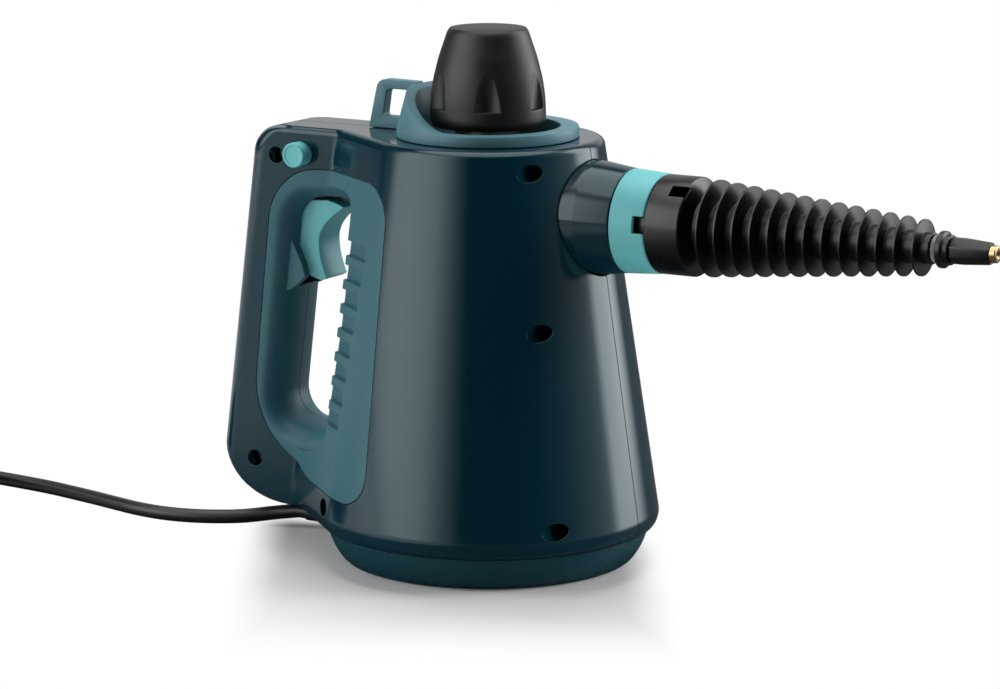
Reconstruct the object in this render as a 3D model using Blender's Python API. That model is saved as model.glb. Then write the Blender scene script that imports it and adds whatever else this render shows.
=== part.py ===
"""Handheld steam cleaner, in metres, with +Z up and the spout along +X.

The origin is on the boiler's axis at the floor. The near side, where the screws
go in, is -Y. The housing is two shells that meet on the plane Y = 0, a base cup
below them and a collar on top. Grip panels line the hand opening, and the trigger
in it pushes a rod that opens the steam valve. The cap screws into the boiler's
neck, and the ribbed nozzle turns in a bayonet ring.
"""

import math

import bmesh
import bpy
import numpy as np

# Fits that every piece shares
GAP = 0.0003
OVERRUN = 0.0040
# Steps that a smooth curve is read in between two points of its route
CURVE_STEPS = 24

# Shells: the cone of the body
SEAM_Z = 0.0150
SEAM_RADIUS = 0.0700
RIM_Z = 0.0215
RIM_RADIUS = 0.0740
TOP_Z = 0.1836
TOP_RADIUS = 0.0495
TOP_EDGE_ROUND = 0.0030
SHELL_WALL = 0.0026
BODY_ARC_STEPS = 17
CAVITY_ARC_STEPS = 9
BODY_LEVELS = 1
CONE_SIDES = 48

# Shells: the handle, whose back stands behind the cone's rim and its top
HANDLE_THICKNESS = 0.0350
HANDLE_STANDOFF_LOW = 0.0546
HANDLE_STANDOFF_HIGH = 0.0624
HANDLE_BACK_LOW = RIM_RADIUS + HANDLE_STANDOFF_LOW
HANDLE_BACK_HIGH = TOP_RADIUS + HANDLE_STANDOFF_HIGH
LOW_CORNER_HEIGHT = 0.0240
LOW_CORNER_DEPTH = 0.0306
HIGH_CORNER_HEIGHT = 0.0141
HIGH_CORNER_DEPTH = 0.0160
HANDLE_EDGE_RADIUS = 0.0090
FLARE_REACH = 0.0150
FLARE_BLEND = 0.0080
LOW_CORNER_STEPS = 5
HIGH_CORNER_STEPS = 3
EDGE_STEPS = 3
BEND_STEPS = 2
TOP_EDGE_STEPS = 2

# Grip panels: the outline on the side of the handle
PANEL_LEFT_TOP_X = -0.0980
PANEL_LEFT_LOW_X = -0.1120
PANEL_RIGHT_X = -0.0205
PANEL_TOP_Z = 0.1656
PANEL_LOW_Z = 0.0318
PANEL_TOP_LEFT_RADIUS = 0.0260
PANEL_TOP_RIGHT_RADIUS = 0.0160
PANEL_LOW_RIGHT_RADIUS = 0.0140
PANEL_LOW_LEFT_RADIUS = 0.0370
PANEL_WALL = 0.0042
LINING_WALL = 0.0030
CORNER_STEPS = 4

# Hand opening: its outline at the handle's middle, and how much wider it is at the faces
OPENING_TOP_Z = 0.1530
OPENING_LOW_Z = 0.0540
OPENING_LEFT_TOP_X = -0.0862
OPENING_LEFT_LOW_X = -0.0985
OPENING_RIGHT_TOP_X = -0.0485
OPENING_RIGHT_LOW_X = -0.0570
OPENING_FLOOR_X = -0.0800
OPENING_FLOOR_DROP = 0.0030
OPENING_TOP_LEFT_RADIUS = 0.0100
OPENING_TOP_RIGHT_RADIUS = 0.0080
OPENING_LOW_RIGHT_RADIUS = 0.0030
OPENING_FLOOR_RADIUS = 0.0100
OPENING_LOW_LEFT_RADIUS = 0.0120
FLARE_OUT_LEFT = 0.0098
FLARE_OUT_TOP = 0.0060
FLARE_OUT_LOW = 0.0120
FLARE_OUT_RADIUS = 0.0060
OPENING_SKIN = 0.0010
OPENING_STEPS = 3
OPENING_LEVELS = 7
LINING_LEVELS = 5

# Grip notches beside the hand opening
NOTCH_COUNT = 8
NOTCH_TOP_Z = 0.1359
NOTCH_PITCH = 0.0104
NOTCH_HEIGHT = 0.0066
NOTCH_LENGTH_TOP = 0.0165
NOTCH_LENGTH_LOW = 0.0125
NOTCH_DEPTH = 0.0024

# Housing screws, which go in from the near side
SCREW_HEAD_RADIUS = 0.0028
SCREW_HEAD_HEIGHT = 0.0022
SCREW_SHANK_RADIUS = 0.00145
SCREW_LENGTH = 0.0170
SCREW_SEAT_DEPTH = 0.0090
SCREW_WELL_RADIUS = 0.00365
SCREW_BOSS_WALL = 0.0020
SCREW_SIDES = 10
WELL_SIDES = 12
BOSS_SIDES = 14
# The crown of a screw head as a share of the head's radius
SCREW_CROWN_SHARE = 0.8
SPOUT_SCREW_X = 0.0389
SPOUT_SCREW_Z = 0.1745
WAIST_SCREW_X = 0.0470
WAIST_SCREW_Z = 0.1086
RIM_SCREW_X = 0.0582
RIM_SCREW_Z = 0.0262
HANDLE_TOP_SCREW_X = -0.0965
HANDLE_TOP_SCREW_Z = 0.1705
HANDLE_LOW_SCREW_X = -0.1093
HANDLE_LOW_SCREW_Z = 0.0342
WEB_SCREW_X = -0.0514
WEB_SCREW_Z = 0.0256

# Base cup
BASE_FLOOR = 0.0026
BASE_WALL = 0.0026
BASE_CONTACT_RADIUS = 0.0600
BASE_LIP_HEIGHT = 0.0042
BASE_LIP_WALL = 0.0022
BASE_SEAT_RADIUS = 0.0320
BASE_SEAT_WALL = 0.0030
BASE_SIDES = 40
# How far out and up the cup's side has come, from the floor to the seam
BASE_SIDE_SHARES = ((0.26, 0.07), (0.52, 0.27), (0.80, 0.61), (1.0, 1.0))

# Boiler, its neck and what is fixed to it
BOILER_RADIUS = 0.0370
BOILER_WALL = 0.0030
BOILER_LOW_Z = 0.0240
BOILER_TOP_Z = 0.1500
BOILER_DOME_HEIGHT = 0.0200
BOILER_LOW_ROUND = 0.0050
BOILER_SIDES = 24
# The dome's outline as shares of the boiler's radius and of the dome's height
BOILER_DOME_SHARES = ((1.0, 0.0), (0.90, 0.55), (0.66, 0.90), (0.48, 1.0))
NECK_RADIUS = 0.0140
NECK_BORE_RADIUS = 0.0100
NECK_TOP_Z = 0.1890
NECK_FLANGE_RADIUS = 0.0170
NECK_FLANGE_HEIGHT = 0.0030
NECK_SIDES = 20
SEAL_LOW_Z = 0.1780
SEAL_THICKNESS = 0.0022
ELEMENT_RING_RADIUS = 0.0180
ELEMENT_TUBE_RADIUS = 0.0032
ELEMENT_OPEN_ANGLE = math.radians(40)
ELEMENT_STEPS = 18
THERMOSTAT_RADIUS = 0.0080
THERMOSTAT_HEIGHT = 0.0070
THERMOSTAT_Z = 0.0700
FUSE_RADIUS = 0.0025
FUSE_LENGTH = 0.0220
FUSE_Z = 0.1000

# Steam valve and the pipe to the spout
VALVE_X = -0.0245
VALVE_RADIUS = 0.0068
VALVE_HEIGHT = 0.0170
VALVE_PAD_RADIUS = 0.0080
VALVE_PAD_HEIGHT = 0.0012
VALVE_PAD_DEPTH = 0.0100
VALVE_BORE_RADIUS = 0.0021
VALVE_BORE_DEPTH = 0.0065
STEM_RADIUS = 0.0018
STEM_GRIP = 0.0035
STEM_LENGTH = 0.0110
ROD_RADIUS = 0.0020
PIPE_RADIUS = 0.0026
# How far the pipe stands off the middle plane as it rounds the neck
PIPE_SWEEP = 0.0224
# The pipe's way in plan behind the neck, as shares of the valve's X and of the sweep
PIPE_REAR_SHARES = ((1.0, 0.469), (0.947, 0.670), (0.776, 0.839), (0.449, 0.964), (0.0, 1.0))
# The same in front of the neck, as shares of the outlet's X and of the sweep
PIPE_FRONT_SHARES = ((0.212, 0.920), (0.404, 0.670), (0.558, 0.357), (0.692, 0.107), (0.827, 0.0))
OUTLET_RADIUS = 0.0040
OUTLET_REAR_X = 0.0520
OUTLET_FRONT_X = 0.0755
OUTLET_SIDES = 18

# Trigger, its pin and its spring
TRIGGER_PIVOT_X = -0.0955
TRIGGER_PIVOT_Z = 0.1520
TRIGGER_WIDTH = 0.0170
TRIGGER_ARM_WIDTH = 0.0080
TRIGGER_ARM_RISE = 0.0119
TRIGGER_ARM_HALF = 0.0025
TRIGGER_TIP_X = -0.0676
TRIGGER_TIP_Z = 0.1482
TRIGGER_LIP = 0.0028
TRIGGER_HOLLOW_X = -0.0806
TRIGGER_TOE_X = -0.0768
TRIGGER_TOE_Z = 0.1165
TRIGGER_BACK_X = -0.0990
TRIGGER_HEEL_RISE = 0.0070
TRIGGER_HOLLOW_STEPS = 6
PIN_RADIUS = 0.0020
PIN_CLEARANCE = 0.0002
PIN_SIDES = 16
PIN_BOSS_RADIUS = 0.0042
PIN_BOSS_LENGTH = 0.0035
WINDOW_LOW_Z = 0.1115
WINDOW_TOP_Z = 0.1590
WINDOW_CLEARANCE = 0.0005
SPRING_RADIUS = 0.0034
SPRING_WIRE_RADIUS = 0.0005
SPRING_Z = 0.1270
SPRING_TURNS = 4
SPRING_STEPS = 8

# Lock button, a bolt that slides across the handle
BUTTON_X = -0.0837
BUTTON_Z = 0.1720
BUTTON_RADIUS = 0.0054
BUTTON_WAIST_RADIUS = 0.0040
BUTTON_WAIST_LENGTH = 0.0220
BUTTON_PROUD = 0.0065
BUTTON_SIDES = 20

# Collar with its hanging eye
COLLAR_RADIUS = 0.0390
COLLAR_REAR_RADIUS = 0.0345
COLLAR_BORE_RADIUS = 0.0310
COLLAR_FRONT_Z = 0.1884
COLLAR_REAR_Z = 0.2040
COLLAR_EDGE_Z = 0.1868
COLLAR_SWEEP_START_X = -0.0040
COLLAR_SWEEP_END_X = -0.0330
COLLAR_SWEEP_POWER = 1.35
COLLAR_SWEEP_STEPS = 6
COLLAR_SKIRT_WALL = 0.0022
COLLAR_SKIRT_DEPTH = 0.0080
COLLAR_SIDES = 36
EYE_WIDTH = 0.0055
EYE_FOOT_X = -0.0582
EYE_HEAD_X = -0.0552
EYE_TOP_Z = 0.2050
EYE_CORNER = 0.0045
EYE_HOLE_REAR_X = -0.0510
EYE_HOLE_FRONT_X = -0.0392
EYE_HOLE_HEAD_X = -0.0372
EYE_HOLE_LOW_Z = 0.1890
EYE_HOLE_TOP_Z = 0.2010
EYE_ROOT_X = -0.0340

# Cap: knob, threaded plug and gasket
CAP_LOW_Z = 0.1884
CAP_TOP_Z = 0.2300
CAP_WIDE_RADIUS = 0.0247
CAP_BORE_RADIUS = 0.0200
CAP_ROOF = 0.0080
CAP_STEM_BORE_RADIUS = 0.0070
CAP_SIDES = 36
# The knob's outline as shares of its widest radius and of its height
CAP_SIDE_SHARES = ((0.93, 0.0), (0.975, 0.03), (1.0, 0.08), (0.998, 0.17), (0.985, 0.305),
                   (0.945, 0.47), (0.90, 0.585), (0.845, 0.71), (0.755, 0.87), (0.70, 0.963),
                   (0.655, 1.0))
FLUTE_COUNT = 6
FLUTE_LOW_Z = 0.1965
FLUTE_HEIGHT = 0.0220
FLUTE_AXIS_RADIUS = 0.0286
FLUTE_LOW_RADIUS = 0.0072
FLUTE_TOP_RADIUS = 0.0058
FLUTE_SIDES = 10
PLUG_THREAD_RADIUS = 0.0091
PLUG_LOW_Z = 0.1720
PLUG_FLANGE_RADIUS = 0.0125
PLUG_FLANGE_HEIGHT = 0.0020
PLUG_STEM_TOP_Z = 0.2120
GASKET_RADIUS = 0.0135
GASKET_THICKNESS = 0.0018

# Spout: sleeve and bayonet ring
SPOUT_Z = 0.1528
SLEEVE_REAR_X = 0.0460
SLEEVE_ROOT_X = 0.0545
SLEEVE_FRONT_X = 0.0700
SLEEVE_ROOT_RADIUS = 0.0242
SLEEVE_FRONT_RADIUS = 0.0221
SLEEVE_WALL = 0.0030
SLEEVE_NECK_RADIUS = 0.0192
SLEEVE_NECK_LENGTH = 0.0085
SLEEVE_WEB_X = 0.0560
SLEEVE_WEB_THICKNESS = 0.0030
RING_FRONT_X = 0.0860
RING_FRONT_RADIUS = 0.0211
RING_LIP_RADIUS = 0.0178
RING_LIP_LENGTH = 0.0030
RING_NOTCH_WIDTH = 0.0072
RING_NOTCH_ANGLE = math.radians(-96)
LUG_LENGTH = 0.0026
LUG_WIDTH = 0.0060
NOZZLE_TWIST = math.radians(30)
SPOUT_SIDES = 32

# Nozzle: ribbed cone and its tip
CUFF_RADIUS = 0.0209
CUFF_LENGTH = 0.0180
CUFF_SPIGOT_LENGTH = 0.0060
CUFF_PORT_X = 0.0985
CUFF_PORT_LENGTH = 0.0075
CUFF_PORT_WIDTH = 0.0060
CUFF_PORT_ANGLE = math.radians(128)
RIB_COUNT = 13
RIB_PITCH = 0.00775
RIB_THICKNESS = 0.0020
RIB_LAST_RADIUS = 0.01165
CORE_FIRST_RADIUS = 0.0136
CORE_LAST_RADIUS = 0.0065
CORE_TAIL_LENGTH = 0.0033
NOZZLE_WALL = 0.0030
NOZZLE_SIDES = 20
LANCE_RADIUS = 0.0026
LANCE_BORE_RADIUS = 0.0016
LANCE_SIDES = 14
WASHER_RADIUS = 0.0056
WASHER_THICKNESS = 0.0024
WASHER_SIDES = 18
FLANGE_RADIUS = 0.0076
FLANGE_NECK_RADIUS = 0.0062
FLANGE_LENGTH = 0.0050
FLANGE_SIDES = 20
SHEATH_REAR_RADIUS = 0.0056
SHEATH_FRONT_RADIUS = 0.0047
SHEATH_LENGTH = 0.0168
SHEATH_SIDES = 8
TIP_RADIUS = 0.0036
TIP_PROUD = 0.0028
TIP_LENGTH = 0.0090
TIP_BORE_RADIUS = 0.0009

# Mains lead
CORD_RADIUS = 0.00315
CORD_SIDES_LEVEL = 3
GLAND_Z = 0.0080
GLAND_NECK_RADIUS = 0.0042
GLAND_CLEARANCE = 0.0003
GLAND_FLANGE_RADIUS = 0.0050
GLAND_FLANGE_LENGTH = 0.0018
GLAND_INNER_X = -0.0600
GLAND_OUTER_X = -0.0702
GLAND_TAPER_LENGTH = 0.0190
GLAND_TIP_RADIUS = 0.0037
GLAND_SIDES = 18
TERMINAL_LENGTH = 0.0160
TERMINAL_WIDTH = 0.0220
TERMINAL_HEIGHT = 0.0090
TERMINAL_SETBACK = 0.0020
CORD_POINT_STEP = 0.0155
# The lead's way from the strain relief to the coil, chosen by hand
CORD_ROUTE = (
    (-0.1080, -0.0024, 0.0064), (-0.1230, -0.0088, 0.0042), (-0.1400, -0.0150, 0.0034),
    (-0.1560, -0.0182, 0.0033), (-0.1720, -0.0172, 0.0033), (-0.1870, -0.0136, 0.0033),
    (-0.2020, -0.0096, 0.0033), (-0.2170, -0.0060, 0.0033), (-0.2320, -0.0030, 0.0034),
    (-0.2480, -0.0014, 0.0036), (-0.2640, -0.0010, 0.0040), (-0.2800, -0.0010, 0.0045),
)

# Coil of the rest of the lead, with its tie
COIL_START_X = -0.3120
COIL_START_Y = -0.0010
COIL_PITCH = 0.0068
COIL_MIDDLE_RADIUS = 0.0378
COIL_TURNS_A_LAYER = 3.0
COIL_LAYERS = 4
COIL_POINTS_A_TURN = 24
TIE_THICKNESS = 0.0009
TIE_SLACK = 0.0012
TIE_WIDTH = 0.0110
TIE_ANGLE = math.radians(205)

# Plug at the far end
PLUG_BODY_LENGTH = 0.0360
PLUG_BODY_WIDTH = 0.0300
PLUG_BODY_HEIGHT = 0.0170
PLUG_BODY_CHAMFER = 0.0040
PLUG_NOSE_LENGTH = 0.0200
PLUG_NOSE_RADIUS = 0.0060
PLUG_NOSE_TIP_RADIUS = 0.0038
PLUG_PIN_RADIUS = 0.0020
PLUG_PIN_LENGTH = 0.0190
PLUG_PIN_SPACING = 0.0095
PLUG_PIN_COUNT = 3
TAIL_RADIUS = 0.0600
TAIL_TURN = math.radians(90)
TAIL_STEPS = 7
TAIL_FALL_START_SHARE = 0.22
TAIL_FALL_END_SHARE = 0.94

# Finishes: colour, roughness and metallic value
FINISHES = {
    "dark_gloss_shell": ((0.006, 0.032, 0.045), 0.18, 0.0),
    "soft_touch_grip": ((0.055, 0.160, 0.190), 0.55, 0.0),
    "light_accent": ((0.150, 0.420, 0.430), 0.45, 0.0),
    "pale_collar": ((0.110, 0.245, 0.275), 0.45, 0.0),
    "black_plastic": ((0.020, 0.019, 0.018), 0.45, 0.0),
    "black_rubber": ((0.012, 0.012, 0.012), 0.70, 0.0),
    "brass": ((0.480, 0.250, 0.095), 0.30, 1.0),
    "aluminium": ((0.560, 0.570, 0.580), 0.40, 1.0),
    "steel": ((0.480, 0.480, 0.470), 0.35, 1.0),
    "white_ceramic": ((0.700, 0.690, 0.660), 0.50, 0.0),
    "silicone": ((0.420, 0.090, 0.060), 0.60, 0.0),
    "nickel_pin": ((0.620, 0.610, 0.590), 0.25, 1.0),
}


# General modelling helpers

def clear_scene():
    """Remove every object that the scene holds."""
    for obj in list(bpy.data.objects):
        bpy.data.objects.remove(obj, do_unlink=True)


def make_materials():
    """Make one material for each finish and return them by name."""
    materials = {}
    for name, (colour, roughness, metallic) in FINISHES.items():
        material = bpy.data.materials.new(name)
        material.use_nodes = True
        shader = material.node_tree.nodes["Principled BSDF"]
        shader.inputs["Base Color"].default_value = (*colour, 1.0)
        shader.inputs["Roughness"].default_value = roughness
        shader.inputs["Metallic"].default_value = metallic
        materials[name] = material
    return materials


def object_from(name, bm):
    """Turn a bmesh into a linked object whose faces point outwards."""
    bmesh.ops.recalc_face_normals(bm, faces=bm.faces)
    mesh = bpy.data.meshes.new(name)
    bm.to_mesh(mesh)
    bm.free()
    obj = bpy.data.objects.new(name, mesh)
    bpy.context.collection.objects.link(obj)
    return obj


def loft(name, rings):
    """Skin closed rings of equal length, one after another, and cap both ends."""
    bm = bmesh.new()
    rows = [[bm.verts.new(point) for point in ring] for ring in rings]
    count = len(rows[0])
    for low, high in zip(rows, rows[1:]):
        for k in range(count):
            following = (k + 1) % count
            bm.faces.new((low[k], low[following], high[following]))
            bm.faces.new((low[k], high[following], high[k]))
    bm.faces.new(rows[0])
    bm.faces.new(rows[-1])
    return object_from(name, bm)


def prisms(name, outlines, y_from, y_to):
    """Stretch outlines of (x, z) points along Y, as separate bodies of one object."""
    bm = bmesh.new()
    for outline in outlines:
        near, far = ([bm.verts.new((x, y, z)) for x, z in outline] for y in (y_from, y_to))
        bm.faces.new(near)
        bm.faces.new(far)
        for k in range(len(outline)):
            bm.faces.new((near[k - 1], near[k], far[k], far[k - 1]))
    return object_from(name, bm)


def prism(name, outline, y_from, y_to):
    """Stretch an outline of (x, z) points along Y."""
    return prisms(name, [outline], y_from, y_to)


def band(name, outer, inner, y_from, y_to):
    """Make a closed band along Y between two (x, z) outlines that have equally many points."""
    rows = [[(x, y, z) for x, z in outline]
            for outline, y in ((outer, y_from), (outer, y_to), (inner, y_to), (inner, y_from))]
    bm = bmesh.new()
    rows = [[bm.verts.new(point) for point in row] for row in rows]
    for k, row in enumerate(rows):
        for n in range(len(row)):
            bm.faces.new((row[n - 1], row[n], rows[k - 1][n], rows[k - 1][n - 1]))
    return object_from(name, bm)


def box(name, x_range, y_range, z_range):
    """Make a box from its ranges along X, Y and Z."""
    (x0, x1), (z0, z1) = x_range, z_range
    return prism(name, [(x0, z0), (x1, z0), (x1, z1), (x0, z1)], *y_range)


def axis_point(axis, radius, height, angle, centre):
    """Return the point at a radius, height and angle about an axis through centre."""
    across, up = radius * math.cos(angle), radius * math.sin(angle)
    local = {"X": (height, across, up), "Y": (across, height, up), "Z": (across, up, height)}[axis]
    return tuple(a + b for a, b in zip(local, centre))


def turned(name, profile, sides, axis="Z", centre=(0, 0, 0), phase=0):
    """Turn a closed profile of (radius, height) points about an axis."""
    bm = bmesh.new()
    rows = []
    for radius, height in profile:
        steps = sides if radius > 0 else 1
        rows.append([bm.verts.new(axis_point(axis, radius, height, phase + math.tau * k / sides, centre))
                     for k in range(steps)])
    for first, second in zip(rows, rows[1:] + rows[:1]):
        if len(first) == len(second) == 1:
            continue
        for k in range(sides):
            corners = [first[k % len(first)], first[(k + 1) % len(first)],
                       second[(k + 1) % len(second)], second[k % len(second)]]
            bm.faces.new(list(dict.fromkeys(corners)))
    return object_from(name, bm)


def rod(name, radius, start, end, sides, axis="Z", centre=(0, 0, 0)):
    """Make a plain round bar between two heights along an axis."""
    return turned(name, [(0, start), (radius, start), (radius, end), (0, end)], sides, axis, centre)


def pipe(name, radius, bore, start, end, sides, axis="Z", centre=(0, 0, 0)):
    """Make a round tube between two heights along an axis."""
    return turned(name, [(bore, start), (radius, start), (radius, end), (bore, end)], sides, axis, centre)


def tube(name, points, radius, level):
    """Make a round tube along points, with filled ends."""
    curve = bpy.data.curves.new(name, "CURVE")
    curve.dimensions = "3D"
    curve.bevel_depth = radius
    curve.bevel_resolution = level
    curve.use_fill_caps = True
    spline = curve.splines.new("POLY")
    spline.points.add(len(points) - 1)
    for slot, point in zip(spline.points, points):
        slot.co = (*point, 1.0)
    obj = bpy.data.objects.new(name, curve)
    bpy.context.collection.objects.link(obj)
    return obj


def hide_helper(obj):
    """Mark an object as a cutter, which is no part of the model."""
    obj.hide_render = True
    obj.display_type = "WIRE"


def combine(obj, other, operation):
    """Cut, join or keep what an object shares with a helper."""
    hide_helper(other)
    modifier = obj.modifiers.new(other.name, "BOOLEAN")
    modifier.operation = operation
    modifier.solver = "EXACT"
    modifier.object = other
    return obj


def finish(obj, material, origin=None):
    """Give a piece its material, smooth shading and, for a moving piece, its origin."""
    obj.data.materials.append(material)
    if obj.type == "MESH":
        obj.data.shade_smooth()
        obj.data.set_sharp_from_angle(angle=math.radians(35))
        if origin is not None:
            for vertex in obj.data.vertices:
                vertex.co = [a - b for a, b in zip(vertex.co, origin)]
            obj.location = origin
    return obj


def rounded_outline(corners, steps):
    """Round a polygon of (x, z, radius) corners, listed in order, with the same steps on each."""
    points = []
    count = len(corners)
    for k, (x, z, radius) in enumerate(corners):
        before = np.array(corners[k - 1][:2]) - (x, z)
        after = np.array(corners[(k + 1) % count][:2]) - (x, z)
        before /= np.linalg.norm(before)
        after /= np.linalg.norm(after)
        half_angle = math.acos(float(np.clip(before @ after, -1, 1))) / 2
        bisector = (before + after) / np.linalg.norm(before + after)
        centre = np.array((x, z)) + bisector * radius / math.sin(half_angle)
        start = np.array((x, z)) + before * radius / math.tan(half_angle) - centre
        end = np.array((x, z)) + after * radius / math.tan(half_angle) - centre
        for step in range(steps + 1):
            share = step / steps
            spoke = start * (1 - share) + end * share
            points.append(tuple(centre + spoke / np.linalg.norm(spoke) * radius))
    return points


def grown(corners, margin):
    """Move a polygon's sides out by a margin, and its corner radii with them."""
    result = []
    area = sum(a[0] * b[1] - b[0] * a[1] for a, b in zip(corners, corners[1:] + corners[:1]))
    turn = 1 if area > 0 else -1
    for k, (x, z, radius) in enumerate(corners):
        before = np.array((x, z)) - corners[k - 1][:2]
        after = np.array(corners[(k + 1) % len(corners)][:2]) - (x, z)
        out_before = turn * np.array((before[1], -before[0])) / np.linalg.norm(before)
        out_after = turn * np.array((after[1], -after[0])) / np.linalg.norm(after)
        push = (out_before + out_after) * margin / (1 + float(out_before @ out_after))
        result.append((x + push[0], z + push[1], radius + margin))
    return result


def smooth_points(route, step):
    """Read points at even steps from a smooth curve through a route."""
    points = np.array(route)
    before = 2 * points[0] - points[1]
    after = 2 * points[-1] - points[-2]
    padded = np.vstack([before, points, after])
    dense = []
    for a, b, c, d in zip(padded, padded[1:], padded[2:], padded[3:]):
        for t in np.linspace(0, 1, CURVE_STEPS, endpoint=False):
            dense.append(0.5 * (2 * b + (c - a) * t + (2 * a - 5 * b + 4 * c - d) * t ** 2
                                + (3 * b - a - 3 * c + d) * t ** 3))
    dense = np.array(dense + [points[-1]])
    along = np.concatenate([[0], np.cumsum(np.linalg.norm(np.diff(dense, axis=0), axis=1))])
    count = max(2, round(along[-1] / step))
    marks = np.linspace(0, along[-1], count + 1)
    return [tuple(float(np.interp(mark, along, dense[:, k])) for k in range(3)) for mark in marks]


# Outlines of the housing

def cone_radius(z):
    """Return the body's outer radius at a height."""
    if z < RIM_Z:
        rise = min(1.0, (RIM_Z - z) / (RIM_Z - SEAM_Z))
        return SEAM_RADIUS + (RIM_RADIUS - SEAM_RADIUS) * math.sqrt(1 - rise ** 2)
    return RIM_RADIUS + (TOP_RADIUS - RIM_RADIUS) * (z - RIM_Z) / (TOP_Z - RIM_Z)


def corner_fall(reach, depth, height):
    """Return how far a rounded corner has fallen back at a distance into its height."""
    return depth * (1 - math.sqrt(max(0.0, 1 - min(1.0, reach / height) ** 2)))


def handle_back(z, inset):
    """Return how far the handle's back stands behind the axis, drawn in by an inset."""
    low_z = SEAM_Z + LOW_CORNER_HEIGHT
    high_z = TOP_Z - HIGH_CORNER_HEIGHT
    share = (z - low_z) / (high_z - low_z)
    back = HANDLE_BACK_LOW + (HANDLE_BACK_HIGH - HANDLE_BACK_LOW) * min(max(share, 0.0), 1.0) - inset
    if z < low_z:
        back -= corner_fall(low_z - z, LOW_CORNER_DEPTH - inset, LOW_CORNER_HEIGHT - inset)
    if z > high_z:
        back -= corner_fall(z - high_z, HIGH_CORNER_DEPTH - inset, HIGH_CORNER_HEIGHT - inset)
    return back


def flare_angle(z):
    """Return the angle, from the handle's direction, where the flare meets the cone."""
    radius = cone_radius(z)
    reach = radius + FLARE_REACH
    half = HANDLE_THICKNESS / 2
    return math.atan2(half, reach) + math.acos(radius / math.hypot(reach, half))


def half_plan(z, inset, steps):
    """Return half of the housing's plan at a height, from the front round to the back.

    Points are (distance behind the axis, distance from the middle plane). The cone's
    arc runs into a straight flare, and the flare bends into the handle's flat side.
    """
    radius = cone_radius(z) - inset
    half = HANDLE_THICKNESS / 2 - inset
    touch = flare_angle(z)
    bend = FLARE_BLEND + inset
    tangent = bend * math.tan((math.pi / 2 - touch) / 2)
    bend_u = (radius - half * math.sin(touch)) / math.cos(touch)
    corner = HANDLE_EDGE_RADIUS - inset
    back = handle_back(z, inset)
    first = math.pi - math.asin(GAP / 2 / radius)
    points = [(radius * math.cos(a), radius * math.sin(a))
              for a in np.linspace(first, touch, steps + 1)]
    for turn in np.linspace(math.pi / 2 - touch, 0, BEND_STEPS + 1):
        points.append((bend_u + tangent - bend * math.sin(turn), half + bend - bend * math.cos(turn)))
    for turn in np.linspace(0, math.pi / 2, EDGE_STEPS + 1):
        points.append((back - corner + corner * math.sin(turn), half - corner + corner * math.cos(turn)))
    points.append((back, GAP / 2))
    return points


def plan_levels(inset, coarsening=0):
    """Return the heights and insets of the rings that skin the housing, fewer when coarsened."""
    low = SEAM_Z + inset
    low_height = LOW_CORNER_HEIGHT - inset
    centre = SEAM_Z + LOW_CORNER_HEIGHT
    levels = [centre - low_height * math.cos(a)
              for a in np.linspace(0, math.pi / 2, LOW_CORNER_STEPS + 1 - coarsening)]
    levels.append(max(RIM_Z, low + GAP))
    high_height = HIGH_CORNER_HEIGHT - inset
    levels += list(np.linspace(centre, TOP_Z - HIGH_CORNER_HEIGHT, BODY_LEVELS + 2)[1:-1])
    centre = TOP_Z - HIGH_CORNER_HEIGHT
    edge = max(TOP_EDGE_ROUND - inset, GAP)
    top = TOP_Z - inset
    levels += [centre + (high_height - edge) * math.sin(a)
               for a in np.linspace(0, math.pi / 2, HIGH_CORNER_STEPS + 1 - coarsening)]
    rounds = [(top - edge + edge * math.sin(a), inset + edge * (1 - math.cos(a)))
              for a in np.linspace(0, math.pi / 2, TOP_EDGE_STEPS + 1 - coarsening)[1:]]
    return [(z, inset) for z in sorted(levels)] + rounds


def housing_half(name, side):
    """Make the solid outer form of one half of the housing. Side is -1 or 1."""
    rings = []
    for z, inset in plan_levels(0):
        rings.append([(-u, side * v, z) for u, v in half_plan(z, inset, BODY_ARC_STEPS)])
    return loft(name, rings)


def housing_core(name, depth):
    """Make the housing's whole form, drawn in by a depth on every side."""
    rings = []
    for z, inset in plan_levels(depth, 1):
        half = half_plan(z, inset, CAVITY_ARC_STEPS)
        rings.append([(-u, -v, z) for u, v in half] + [(-u, v, z) for u, v in reversed(half)])
    return loft(name, rings)


def panel_corners():
    """Return the corners of the grip panel's outline."""
    return [(PANEL_LEFT_TOP_X, PANEL_TOP_Z, PANEL_TOP_LEFT_RADIUS),
            (PANEL_RIGHT_X, PANEL_TOP_Z, PANEL_TOP_RIGHT_RADIUS),
            (PANEL_RIGHT_X, PANEL_LOW_Z, PANEL_LOW_RIGHT_RADIUS),
            (PANEL_LEFT_LOW_X, PANEL_LOW_Z, PANEL_LOW_LEFT_RADIUS)]


def opening_corners(widening, backing=0):
    """Return the corners of the hand opening. Widening runs from 0 in the middle to 1."""
    left, top, low = (widening * d for d in (FLARE_OUT_LEFT, FLARE_OUT_TOP, FLARE_OUT_LOW))
    extra = widening * FLARE_OUT_RADIUS
    return [(OPENING_LEFT_TOP_X - left, OPENING_TOP_Z + top, OPENING_TOP_LEFT_RADIUS + extra),
            (OPENING_RIGHT_TOP_X + backing, OPENING_TOP_Z + top, OPENING_TOP_RIGHT_RADIUS),
            (OPENING_RIGHT_LOW_X + backing, OPENING_LOW_Z, OPENING_LOW_RIGHT_RADIUS),
            (OPENING_FLOOR_X, OPENING_LOW_Z - OPENING_FLOOR_DROP - low, OPENING_FLOOR_RADIUS + extra),
            (OPENING_LEFT_LOW_X - left, OPENING_LOW_Z - low / 2, OPENING_LOW_LEFT_RADIUS + extra)]


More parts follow.
